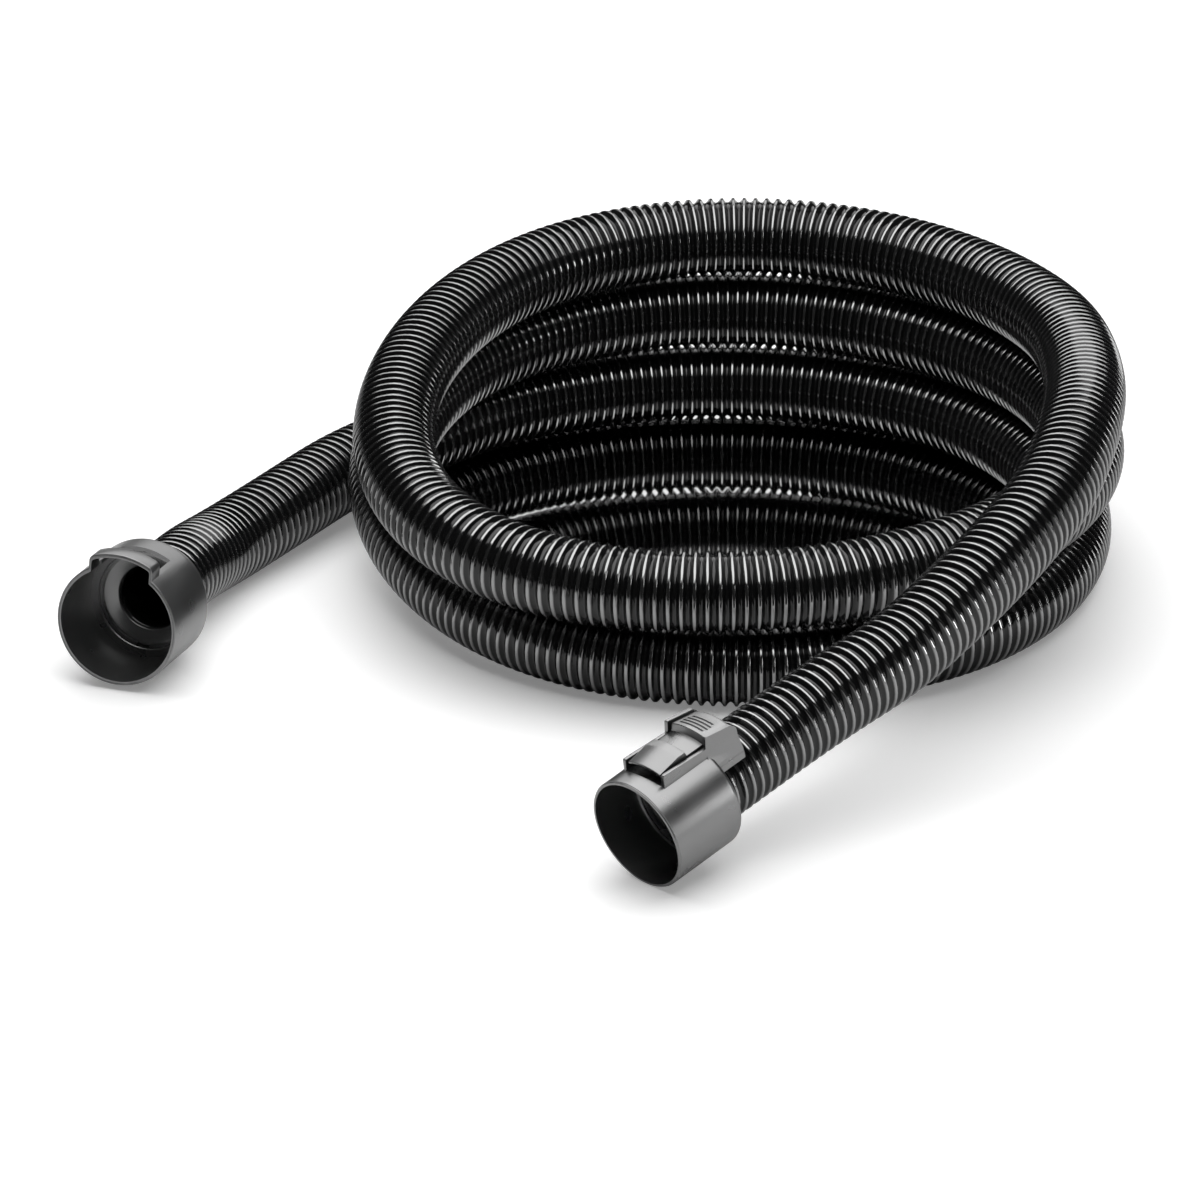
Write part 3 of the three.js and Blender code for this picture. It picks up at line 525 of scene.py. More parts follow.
def cuff(name, flange_z, sleeve_end, axes):
    """Turned section: sleeve over the hose, flange, cone falling to a lip with a rounded edge."""
    section = [
        (SLEEVE_OUTER, sleeve_end),
        (SLEEVE_OUTER, flange_z - CUFF_FLANGE_THICKNESS),
        (CUFF_FLANGE_RADIUS, flange_z - CUFF_FLANGE_THICKNESS),
        (CUFF_FLANGE_RADIUS, flange_z - CUFF_FLANGE_EDGE),
        (CUFF_FLANGE_RADIUS - CUFF_FLANGE_EDGE, flange_z),
        (SLEEVE_OUTER, flange_z),
        *arc(LIP_RADIUS + LIP_ROUND, flange_z - LIP_ROUND_DEPTH, LIP_ROUND, 100, 180),
        (LIP_RADIUS, flange_z - LIP_DEPTH),
        (SLEEVE_INNER, flange_z - LIP_DEPTH),
        (SLEEVE_INNER, sleeve_end),
    ]
    return set_down(turned(name, section), axes)


socket_cuff = cuff("socket_cuff_lip", SOCKET_FLANGE_Z, SOCKET_SLEEVE_END, socket_axes)
connector_cuff = cuff("connector_cuff_lip", CONNECTOR_FLANGE_Z, CONNECTOR_SLEEVE_END, connector_axes)

# %% [markdown]
# ## Socket
# A cup with a thin rim. A raised bridge crosses the rim at the top and leaves a slot under it for the
# hook of a connector, and behind the bridge a window takes the hook's crest. The bridge isn't round, so
# it is an arched outline carried along the cup, and the openings are cut through both.

# %% Bore and bridge
PAST_MOUTH, PAST_TOP = 5, 45
HOSE_HOLE, SLEEVE_HOLE = 22.6, 24.9
FLANGE_HOLE, FLANGE_SEAT, SHOULDER, SHOULDER_EDGE = 26.7, 4.44, 3.2, 0.4
RING_GROOVE, RING_GROOVE_WIDTH = 27.9, 2.2


def bore_section(bore, flange_z, rear_z, clear_to):
    """Section of everything cut out along a fitting's axis, from past its mouth to past its rear."""
    groove_end, shoulder, seat = flange_z + RING_GROOVE_WIDTH, flange_z + SHOULDER, flange_z - FLANGE_SEAT
    return [
        (0, clear_to),
        (HOSE_HOLE, clear_to),
        (HOSE_HOLE, rear_z),
        (SLEEVE_HOLE, rear_z),
        (SLEEVE_HOLE, seat),
        (FLANGE_HOLE, seat),
        (FLANGE_HOLE, flange_z),
        (RING_GROOVE, flange_z),
        (RING_GROOVE, groove_end),
        (FLANGE_HOLE, groove_end),
        (FLANGE_HOLE, shoulder - SHOULDER_EDGE),
        (FLANGE_HOLE + SHOULDER_EDGE, shoulder),
        (bore, shoulder),
        (bore, PAST_MOUTH),
        (0, PAST_MOUTH),
    ]


def arch(half, radius, corner, foot):
    """Arch in (x, y): upright sides, rounded shoulders and a top on a circle round the axis."""
    reach = half - corner
    height = math.sqrt((radius - corner) ** 2 - reach**2)
    turn = math.degrees(math.atan2(height, reach))
    right = arc(reach, height, corner, 0, turn, 6)
    over = arc(0, 0, radius, turn, 180 - turn, 24)[1:-1]
    left = [(-a, b) for a, b in reversed(right)]
    return [(half, foot), *right, *over, *left, (-half, foot)]


# %% Slot, catch and window
SLOT_HALF, SLOT_RADIUS, SLOT_CORNER = 16.2, 36.7, 2.1
BRIDGE_RADIUS, BRIDGE_LENGTH = 38.8, 11
CATCH_HALF, CATCH_RADIUS, CATCH_LENGTH, CATCH_EDGE, CATCH_RAMP = 11.3, 34.7, 3, 0.3, 1
WINDOW_HALF, WINDOW_REAR, WINDOW_CORNER, WINDOW_FOOT = 15.4, -30.5, 0.8, 17.5
LINE_RADIUS, LINE_WIDTH, LINE_DEPTH = 31.9, 0.4, 0.4
LINE_ARCH, LINE_ARCH_FOOT = np.array([17.1, 38.0, 3.0]), 28


def slot_tool():
    """Arch under the bridge, without the catch that hangs into it at the bridge's rear."""
    opening = arch(SLOT_HALF, SLOT_RADIUS, SLOT_CORNER, 0)
    slot = prism("slot", opening, -BRIDGE_LENGTH - 1, PAST_MOUTH, OUTWARDS)
    catch_front = CATCH_LENGTH - BRIDGE_LENGTH
    catch_section = [
        (CATCH_RADIUS, -BRIDGE_LENGTH + CATCH_EDGE),
        (CATCH_RADIUS + CATCH_EDGE, -BRIDGE_LENGTH),
        (BRIDGE_RADIUS, -BRIDGE_LENGTH),
        (BRIDGE_RADIUS, catch_front),
        (SLOT_RADIUS, catch_front),
        (CATCH_RADIUS, catch_front - CATCH_RAMP),
    ]
    return combined(slot, ("DIFFERENCE", ring_piece("catch", catch_section, CATCH_HALF)))


def window_tool():
    """Window behind the bridge, with rounded corners at its rear."""
    corner = arc(WINDOW_HALF - WINDOW_CORNER, WINDOW_REAR + WINDOW_CORNER, WINDOW_CORNER, 0, -90, 3)
    outline = mirrored([(WINDOW_HALF, -BRIDGE_LENGTH), *corner])
    return prism("window", outline, WINDOW_FOOT, PAST_TOP, UPWARDS)


def rim_line():
    """Fine groove in the rim's front face: round the cup outside the slot, and up and over the bridge,
    where it is the space between an arch and one smaller by the line's width."""
    line = turned("line", oblong(LINE_RADIUS, LINE_RADIUS + LINE_WIDTH, -LINE_DEPTH, 1))
    gap = prism("gap", oblong(-SLOT_HALF, SLOT_HALF, 0, PAST_TOP), -1, 2, OUTWARDS)
    over = prism("over", arch(*LINE_ARCH, LINE_ARCH_FOOT), -LINE_DEPTH, 1, OUTWARDS)
    under = prism("under", arch(*(LINE_ARCH - LINE_WIDTH), 20), -2, 2, OUTWARDS)
    over = combined(over, ("DIFFERENCE", under))
    return combined(line, ("DIFFERENCE", gap), ("UNION", over))


# %% Socket
SOCKET_RADIUS, SOCKET_BORE, SOCKET_LENGTH = 33, 31, 43
SOCKET_RIM_ROUND, SOCKET_REAR_ROUND = 0.5, 5
NECK_RADIUS, NECK_FRONT, NECK_REAR, NECK_EDGE = 27.2, -50, -56, 0.4
BRIDGE_HALF, BRIDGE_CORNER, BRIDGE_FOOT = 17.6, 3.5, 26


def socket_body():
    """Cup, joined with the bridge, then cut by the bore, the slot under the bridge and the window."""
    cup_section = [
        (0, NECK_REAR),
        (NECK_RADIUS - NECK_EDGE, NECK_REAR),
        (NECK_RADIUS, NECK_REAR + NECK_EDGE),
        (NECK_RADIUS, NECK_FRONT),
        *arc(SOCKET_RADIUS - SOCKET_REAR_ROUND, -SOCKET_LENGTH, SOCKET_REAR_ROUND, -70, 0, 12),
        *arc(SOCKET_RADIUS - SOCKET_RIM_ROUND, -SOCKET_RIM_ROUND, SOCKET_RIM_ROUND, 0, 90, 3),
        (0, 0),
    ]
    cup = turned("socket_shell", cup_section)
    bridge_arch = arch(BRIDGE_HALF, BRIDGE_RADIUS, BRIDGE_CORNER, BRIDGE_FOOT)
    bridge = prism("bridge", bridge_arch, -BRIDGE_LENGTH, 0, OUTWARDS, SOFT_EDGE)
    bore = turned("bore", bore_section(SOCKET_BORE, SOCKET_FLANGE_Z, NECK_REAR - 1, NECK_REAR - 2))
    return combined(
        cup,
        ("UNION", bridge),
        ("DIFFERENCE", bore),
        ("DIFFERENCE", slot_tool()),
        ("DIFFERENCE", window_tool()),
        ("DIFFERENCE", rim_line()),
    )


socket_shell = set_down(socket_body(), socket_axes)

# %% [markdown]
# ## Connector
# A thin plug. Two rails guard the hook, a sunk flat under the hook lets it give way, and a housing at the
# rear holds the press button between two walls and reaches back over the hose. The housing is drawn twice,
# from the side and from the front, and what both views share is kept.

# %% Housing and channel
SIDE_X, SIDE_WALL = 14.1, 2.1
HOUSING_FRONT, HOUSING_REAR, HOUSING_FOOT, HOUSING_FOOT_X = -41.2, -63, 15, 16.6
HOUSING_BROW, HOUSING_LEAN, HOUSING_PEAK, HOUSING_PEAK_ROUND = 31.5, 1.9, 36.8, 1
HOUSING_ROOF_REAR = (-59.5, 34.9)
HOUSING_REAR_ROUND, HOUSING_REAR_TOP, HOUSING_FOOT_ROUND = 4, 30.1, 2
HOUSING_FRONT_VIEW = [
    (HOUSING_FOOT_X + 0.35, 0), (HOUSING_FOOT_X + 0.3, 18.6), (HOUSING_FOOT_X, 18.9),
    (HOUSING_FOOT_X, 20.7), (SIDE_X, 27.7), (SIDE_X, 36.7), (SIDE_X - 0.5, 50),
]
HOUSING_REACH, PAST_SIDE = (-66, -38), 20
CHANNEL_HALF, CHANNEL_FRONT, CHANNEL_BOW, CHANNEL_REAR, POCKET_FLOOR = 12, -10.8, 1.4, -60.9, 26.5
PIN_Y, PIN_Z, PIN_HOLE = 30.9, -58.7, 1.7


def button_housing():
    """Side view of the housing carried across, and met by its front view: upright walls that stand
    further apart below, with a fine step near their feet."""
    side_view = [
        (HOUSING_FRONT, HOUSING_FOOT),
        (HOUSING_FRONT, HOUSING_BROW),
        *arc(HOUSING_FRONT - HOUSING_LEAN, HOUSING_PEAK, HOUSING_PEAK_ROUND, 0, 80, 5),
        HOUSING_ROOF_REAR,
        *arc(HOUSING_REAR + HOUSING_REAR_ROUND, HOUSING_REAR_TOP, HOUSING_REAR_ROUND, 110, 180, 8),
        *arc(HOUSING_REAR + HOUSING_FOOT_ROUND, HOUSING_FOOT, HOUSING_FOOT_ROUND, 180, 270, 6),
    ]
    across = prism("housing", side_view, -PAST_SIDE, PAST_SIDE, SIDEWAYS)
    front_view = prism("front view", mirrored(HOUSING_FRONT_VIEW), *HOUSING_REACH, OUTWARDS)
    return combined(across, ("INTERSECT", front_view))


def channel_tool():
    """The channel that holds the lever. Its front end bows forward, as the plug's skin does."""
    across = np.linspace(CHANNEL_HALF, -CHANNEL_HALF, 13)
    bow = [(x, CHANNEL_FRONT + CHANNEL_BOW * (1 - (x / CHANNEL_HALF) ** 2)) for x in across]
    outline = [(-CHANNEL_HALF, CHANNEL_REAR), (CHANNEL_HALF, CHANNEL_REAR), *bow]
    return prism("channel", outline, POCKET_FLOOR, PAST_TOP, UPWARDS)


def pin_tool(half):
    """Rod across the fitting at the lever's pin."""
    rod = turned("pin", [(0, -half), (PIN_HOLE, -half), (PIN_HOLE, half), (0, half)], ROUND_ROD)
    rod.data.transform(Matrix.Translation((0, PIN_Y, PIN_Z)) @ Matrix.Rotation(math.pi / 2, 4, "Y"))
    return rod


# %% Connector
PLUG_RADIUS, PLUG_BORE, PLUG_LENGTH, PLUG_REAR, PLUG_REAR_ROUND = 29.7, 28, 41.5, -45.2, 3.7
PLUG_RIM_LINE, PLUG_RIM_STEP, PLUG_RIM_TOP, PLUG_RIM_ROUND = 0.9, 0.35, 0.7, 0.4
RAIL_FRONT, RAIL_REAR, RAIL_FOOT, RAIL_REAR_TOP, RAIL_EDGE = -11.2, -42.2, 23.7, 31.5, 0.3
RAIL_NOSE, RAIL_NOSE_ROUND = (-12.7, 32.2), 1
FLAT_FRONT, FLAT_REAR, FLAT_FOOT = -7.5, -27.9, 24.5
REAR_GAP_FRONT, REAR_GAP_FOOT = -59.9, 28.7
HOUSING_PIN_HALF, LEVER_PIN_HALF = 13.2, 14


def connector_body():
    """Plug, housing and rails joined, the bore cut, the sunk flat added, and the channel cut last."""
    plug_section = [
        (0, PLUG_REAR),
        *arc(PLUG_RADIUS - PLUG_REAR_ROUND, -PLUG_LENGTH, PLUG_REAR_ROUND, -90, 0, 12),
        (PLUG_RADIUS, -PLUG_RIM_LINE),
        (PLUG_RADIUS - PLUG_RIM_STEP, -PLUG_RIM_TOP),
        *arc(PLUG_RADIUS - PLUG_RIM_STEP - PLUG_RIM_ROUND, -PLUG_RIM_ROUND, PLUG_RIM_ROUND, 0, 90, 3),
        (0, 0),
    ]
    plug = turned("connector_shell", plug_section)
    rail_outline = [
        (RAIL_REAR, RAIL_FOOT),
        (RAIL_FRONT, RAIL_FOOT),
        *arc(*RAIL_NOSE, RAIL_NOSE_ROUND, 0, 86, 4),
        (RAIL_REAR, RAIL_REAR_TOP),
    ]
    middle = SIDE_X - SIDE_WALL / 2
    walls = [(s * middle - SIDE_WALL / 2, s * middle + SIDE_WALL / 2) for s in (-1, 1)]
    rails = [prism("rail", rail_outline, low, high, SIDEWAYS, RAIL_EDGE) for low, high in walls]
    bore = turned("bore", bore_section(PLUG_BORE, CONNECTOR_FLANGE_Z, PLUG_REAR, HOUSING_REAR - 1))
    inside = turned("inside", plug_section)
    flat_outline = oblong(-SIDE_X, SIDE_X, FLAT_FOOT, PLUG_RADIUS)
    flat = combined(prism("flat", flat_outline, FLAT_REAR, FLAT_FRONT, OUTWARDS), ("INTERSECT", inside))
    rear_gap = oblong(-CHANNEL_HALF, CHANNEL_HALF, REAR_GAP_FOOT, PAST_TOP)
    return combined(
        plug,
        ("UNION", button_housing()),
        ("UNION", rails[0]),
        ("UNION", rails[1]),
        ("DIFFERENCE", bore),
        ("UNION", flat),
        ("DIFFERENCE", channel_tool()),
        ("DIFFERENCE", prism("rear", rear_gap, HOUSING_REAR - 3, REAR_GAP_FRONT, OUTWARDS)),
        ("DIFFERENCE", pin_tool(HOUSING_PIN_HALF)),
    )


connector_shell = set_down(connector_body(), connector_axes)

# %% [markdown]
# ## Latch lever
# Hook, waist and press button are one moulding that turns on a pin at the rear. Its top follows the
# plug's roundness everywhere, so it is turned about the plug's axis and then cut to its width. Four short
# grooves across the button give it grip.

# %% Grip of the button
BUTTON_FRONT, BUTTON_REAR, FRONT_TOP, REAR_TOP = -43.6, -61.8, 38.0, 35.0
GRIP_HALF_WIDTHS = [7.3, 7.8, 7.5, 6.5]
GRIP_FRONT, GRIP_PITCH, GRIP_WIDTH, GRIP_DEPTH = -46.9, 2.6, 1.3, 0.8
GRIP_REACH = (20, 50)


def button_radius(z):
    """Radius of the button's top, a straight line in the side view."""
    return FRONT_TOP + (z - BUTTON_FRONT) * (REAR_TOP - FRONT_TOP) / (BUTTON_REAR - BUTTON_FRONT)


def grip_groove(index, half):
    """Round-ended groove across the button. Its bottom is a parabola, deepest along its middle."""
    middle = GRIP_FRONT - index * GRIP_PITCH
    top, rise = button_radius(middle), GRIP_WIDTH / 2
    bowl = [(top - GRIP_DEPTH * (1 - (t / rise) ** 2), middle + t) for t in np.linspace(-rise, rise, 7)]
    section = [*bowl[:1], (top + 2, middle - rise), (top + 2, middle + rise), *bowl[:0:-1]]
    ends = [*arc(half, middle, rise, -90, 90, 6), *arc(-half, middle, rise, 90, 270, 6)]
    ring = ring_piece("groove", section, half + 1)
    return combined(ring, ("INTERSECT", prism("ends", ends, *GRIP_REACH, UPWARDS)))


# %% Latch lever
LEVER_HALF, LEVER_HEIGHTS = 10.7, (27, 42)
HOOK_FRONT, RAMP_END, CREST_END, HOOK_TOP, CREST_TOP = -12.5, -24.2, -30.7, 34.1, 36.5
WAIST_TOP, UNDERSIDE = 34.2, 32.5
REAR_ROUND, BROW_ROUND, CREST_ROUND, HOOK_ROUND = 2, 0.6, 0.5, 0.35
BUTTON_RUN_OUT, CREST_RUN_OUT, HOOK_FACE, HOOK_UNDERCUT = 1, 0.8, 1.1, 2.5
RAMP_SAG, RAMP_BLEND = 0.35, 1.5
BLOCK_FOOT, BLOCK_TOP, BLOCK_REAR_GAP, BOSS_RADIUS = 30.6, 32.8, 0.3, 2.8


def latch_lever():
    """Section turned about the axis and cut to the lever's width, with the button's block and the boss
    for the pin under it. The grooves and the pin's hole are cut last."""
    rear_round = BUTTON_REAR + REAR_ROUND
    section = [
        (UNDERSIDE, BUTTON_REAR),
        *arc(button_radius(rear_round) - REAR_ROUND, rear_round, REAR_ROUND, -80, 0, 8),
        *arc(FRONT_TOP - BROW_ROUND, BUTTON_FRONT - BROW_ROUND, BROW_ROUND, 10, 80, 4),
        (WAIST_TOP, BUTTON_FRONT + BUTTON_RUN_OUT),
        (WAIST_TOP, CREST_END - CREST_RUN_OUT),
        *arc(CREST_TOP - CREST_ROUND, CREST_END + CREST_ROUND, CREST_ROUND, -80, 0, 4),
        *[(CREST_TOP - RAMP_SAG * t * t, RAMP_END - RAMP_BLEND + RAMP_BLEND * t) for t in (0, 0.5, 1)],
        *arc(HOOK_TOP - HOOK_ROUND, HOOK_FRONT - HOOK_ROUND, HOOK_ROUND, 10, 90, 4),
        (HOOK_TOP - HOOK_FACE, HOOK_FRONT),
        (UNDERSIDE, HOOK_FRONT - HOOK_UNDERCUT),
    ]
    lever = turned("latch_lever_skin", section, ROUND_FINEST)
    width = oblong(BUTTON_REAR - 1, HOOK_FRONT + 1, *LEVER_HEIGHTS)
    block = oblong(BUTTON_REAR + BLOCK_REAR_GAP, BUTTON_FRONT, BLOCK_FOOT, BLOCK_TOP)
    boss = arc(PIN_Z, PIN_Y, BOSS_RADIUS, 0, 360, ROUND_ROD)[:-1]
    grooves = [grip_groove(i, half) for i, half in enumerate(GRIP_HALF_WIDTHS)]
    return combined(
        lever,
        ("INTERSECT", prism("width", width, -LEVER_HALF, LEVER_HALF, SIDEWAYS)),
        ("UNION", prism("block", block, -LEVER_HALF, LEVER_HALF, SIDEWAYS)),
        ("UNION", prism("boss", boss, -LEVER_HALF, LEVER_HALF, SIDEWAYS)),
        *[("DIFFERENCE", groove) for groove in grooves],
        ("DIFFERENCE", pin_tool(LEVER_PIN_HALF)),
    )


lever_skin = set_down(latch_lever(), connector_axes)

# %% [markdown]
# ## Moulded surface
# Every piece but the pin and the spring is moulded plastic or rubber, with a fine grain and a gloss that
# varies a little. Each material could have noise of its own, but one node group with named inputs keeps
# them alike, and each material, the steel too, gives it its own values.

# %% Moulded grain
GRAIN_INPUTS = [
    ("Grain size", "NodeSocketFloat", 900.0),
    ("Rough low", "NodeSocketFloat", 0.3),
    ("Rough high", "NodeSocketFloat", 0.4),
]
GRAIN_OUTPUTS = [("Height", "NodeSocketFloat"), ("Roughness", "NodeSocketFloat")]
GRAIN_DETAIL = 3
CLOUD_SCALE = 45
CLOUD_LOW, CLOUD_HIGH = 0.3, 0.7


def moulded_grain():
    """Fine noise for the height of a bump, and slow noise that moves the roughness a little."""
    group = bpy.data.node_groups.new("moulded grain", "ShaderNodeTree")
    for label, kind, value in GRAIN_INPUTS:
        group.interface.new_socket(label, in_out="INPUT", socket_type=kind).default_value = value
    for label, kind in GRAIN_OUTPUTS:
        group.interface.new_socket(label, in_out="OUTPUT", socket_type=kind)
    add, join = group.nodes.new, group.links.new
    given = add("NodeGroupInput")
    result = add("NodeGroupOutput")
    place = add("ShaderNodeTexCoord")
    fine = add("ShaderNodeTexNoise")
    fine.inputs["Detail"].default_value = GRAIN_DETAIL
    slow = add("ShaderNodeTexNoise")
    slow.inputs["Scale"].default_value = CLOUD_SCALE
    spread = add("ShaderNodeMapRange")
    spread.inputs["From Min"].default_value = CLOUD_LOW
    spread.inputs["From Max"].default_value = CLOUD_HIGH
    join(place.outputs["Object"], fine.inputs["Vector"])
    join(place.outputs["Object"], slow.inputs["Vector"])
    join(given.outputs["Grain size"], fine.inputs["Scale"])
    join(slow.outputs["Fac"], spread.inputs["Value"])
    join(given.outputs["Rough low"], spread.inputs["To Min"])
    join(given.outputs["Rough high"], spread.inputs["To Max"])
    join(fine.outputs["Fac"], result.inputs["Height"])
    join(spread.outputs["Result"], result.inputs["Roughness"])
    return group


grain_group = moulded_grain()
print("group", grain_group.name)

# %% [markdown]
# ## Plastics and metal
# The hose is black and glossy, the fittings are a dark satin plastic, the cuffs a smoother black, and the
# hidden rings are plain. Only the pin and the spring are steel. A dark colour with a high refractive index
# gives the strong, narrow highlights that the photograph shows.

# %% Plastics and steel
BUMP_STRENGTH = 0.5


def plastic(name, colour, index, rough, grain_size, grain_depth):
    """Principled plastic of that refractive index, whose roughness and bump come from the moulded grain.
    The grain's depth is in metres."""
    material = bpy.data.materials.new(name)
    material.use_nodes = True
    tree = material.node_tree
    shader = tree.nodes["Principled BSDF"]
    shader.inputs["Base Color"].default_value = (*colour, 1)
    shader.inputs["IOR"].default_value = index
    grain = tree.nodes.new("ShaderNodeGroup")
    grain.node_tree = grain_group
    grain.inputs["Grain size"].default_value = grain_size
    grain.inputs["Rough low"].default_value, grain.inputs["Rough high"].default_value = rough
    bump = tree.nodes.new("ShaderNodeBump")
    bump.inputs["Distance"].default_value = grain_depth
    bump.inputs["Strength"].default_value = BUMP_STRENGTH
    tree.links.new(grain.outputs["Height"], bump.inputs["Height"])
    tree.links.new(grain.outputs["Roughness"], shader.inputs["Roughness"])
    tree.links.new(bump.outputs["Normal"], shader.inputs["Normal"])
    return material


hose_black = plastic("hose black", (0.004, 0.0041, 0.0043), 3.1, (0.1, 0.15), 700.0, 0.00001)
fitting_grey = plastic("fitting grey", (0.025, 0.0255, 0.026), 2.6, (0.26, 0.34), 1600.0, 0.00006)
cuff_black = plastic("cuff black", (0.045, 0.046, 0.047), 2.4, (0.2, 0.28), 1200.0, 0.00003)
seal_black = plastic("seal black", (0.012, 0.012, 0.012), 1.5, (0.6, 0.75), 900.0, 0.00005)
steel_bright = plastic("steel", (0.55, 0.56, 0.57), 1.5, (0.25, 0.35), 1500.0, 0.00002)
steel_bright.node_tree.nodes["Principled BSDF"].inputs["Metallic"].default_value = 1
print("materials", len(bpy.data.materials))

# %% [markdown]
# ## Painted shade in the grooves
# On the real hose the crests shine and the grooves between them stay black in their shade. Smooth grooves
# here would mirror the light as the crests do, so painted shade lowers the specular level from crest to
# groove. The mask reads the rib count from the pieces' own UV map, so it stays on the ribs from every side.

# %% Painted shade of the rib grooves
# Specular levels of the painted groove shade: full on the crests, low in the grooves.
CREST_SPECULAR, GROOVE_PAINTED_SHADE = 0.5, 0.07
SHADE_STARTS_AT, SHADE_FULL_AT = 0.09, 0.2


def paint_groove_shade(material):
    """Painted shade in the grooves: the specular level falls from the ribs' crests to the grooves between
    them. The fraction of the rib count in the piece's own coordinates is one half on a crest, and its
    distance from one half sets the level."""
    tree = material.node_tree
    add, join = tree.nodes.new, tree.links.new
    ribs = add("ShaderNodeUVMap")
    ribs.uv_map = "along"
    parts = add("ShaderNodeSeparateXYZ")
    phase = add("ShaderNodeMath")
    phase.operation = "FRACT"
    beside = add("ShaderNodeMath")
    beside.operation = "SUBTRACT"
    beside.inputs[1].default_value = CREST
    aside = add("ShaderNodeMath")
    aside.operation = "ABSOLUTE"
    # Painted shade: this node lowers the specular level from crest to groove.
    gloss = add("ShaderNodeMapRange")
    gloss.interpolation_type = "SMOOTHSTEP"
    gloss.inputs["From Min"].default_value = SHADE_STARTS_AT
    gloss.inputs["From Max"].default_value = SHADE_FULL_AT
    gloss.inputs["To Min"].default_value = CREST_SPECULAR
    gloss.inputs["To Max"].default_value = GROOVE_PAINTED_SHADE
    join(ribs.outputs["UV"], parts.inputs["Vector"])
    join(parts.outputs["Y"], phase.inputs[0])
    join(phase.outputs[0], beside.inputs[0])
    join(beside.outputs[0], aside.inputs[0])
    join(aside.outputs[0], gloss.inputs["Value"])
    join(gloss.outputs["Result"], tree.nodes["Principled BSDF"].inputs["Specular IOR Level"])


# Painted shade in the hose's grooves.
paint_groove_shade(hose_black)

# %% [markdown]
# ## Pieces and the solids they stand for
# Each new piece takes the place of one solid, or of a share of the coil, and moves with the same body. The
# hidden rings, seals, pin and spring are the solids themselves, because they look as they should already.

# %% Materials, bodies and replaced nodes
def wear(piece, material):
    """Gives the piece that material alone."""
    piece.data.materials.clear()
    piece.data.materials.append(material)


replaced = ["hose_tail", *["hose_coil"] * TURN_PIECES, "hose_sweep"]
for (piece, _), node in zip(hose_pieces, replaced):
    wear(piece, hose_black)
    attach(piece, "hose")
    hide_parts(node)
shells = [
    (socket_shell, "socket_body", "socket", fitting_grey, "fitting"),
    (socket_cuff, "socket_cuff", "hose", cuff_black, "cuff"),
    (connector_shell, "connector_body", "connector", fitting_grey, "fitting"),
    (connector_cuff, "connector_cuff", "hose", cuff_black, "cuff"),
    (lever_skin, "latch_lever", "latch", fitting_grey, "fitting"),
]
for piece, node, body, material, slot in shells:
    wear(piece, material)
    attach(piece, body)
    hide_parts(node)
finishes = {
    "seal": seal_black,
    "retaining_ring": cuff_black,
    "pivot_pin": steel_bright,
    "spring": steel_bright,
}
for name, node in frame["nodes"].items():
    for ending, material in finishes.items():
        if name.endswith(ending):
            wear(node, material)
            print(name, "wears", material.name)

# %% [markdown]
# ## The hose's pieces
# Its whole length of about 3.6 m can be followed in the photograph, from end to end. Every piece starts
# where the one before it ends, and the first one in the socket's cuff.

# %% Lengths and lay of the pieces
lays = ["loose", *["coiled"] * TURN_PIECES, "loose"]
for (piece, middle), lay, start, end in zip(hose_pieces, lays, cuts[:-1], cuts[1:]):
    print(piece.name, round(end - start, 3), "m", lay)

# %% [markdown]
# ## Floor
# The photograph has a white floor with soft shadows, and inside the coil it mirrors the strands behind.
# Lamps strong enough to whiten the floor light the fittings too strongly, so the floor has a little glow
# that only the camera sees, and it is polished inside the coil alone.

# %% Floor
FLOOR_SIZE = 14
FLOOR_WHITE, PATCH_GREY = 0.9, 0.5
FLOOR_ROUGH, PATCH_ROUGH = 0.6, 0.04
POLISHED_CENTRE = COIL_CENTRE + np.array([-26, 27, 0]) * MM
POLISHED_RADIUS = 0.187
POLISHED_EDGE = 0.004
GLOW_NEAR, GLOW_FAR = 0.2, 0.6
GLOW_RISES_FROM, GLOW_RISES_TO = 0.35, 1.2


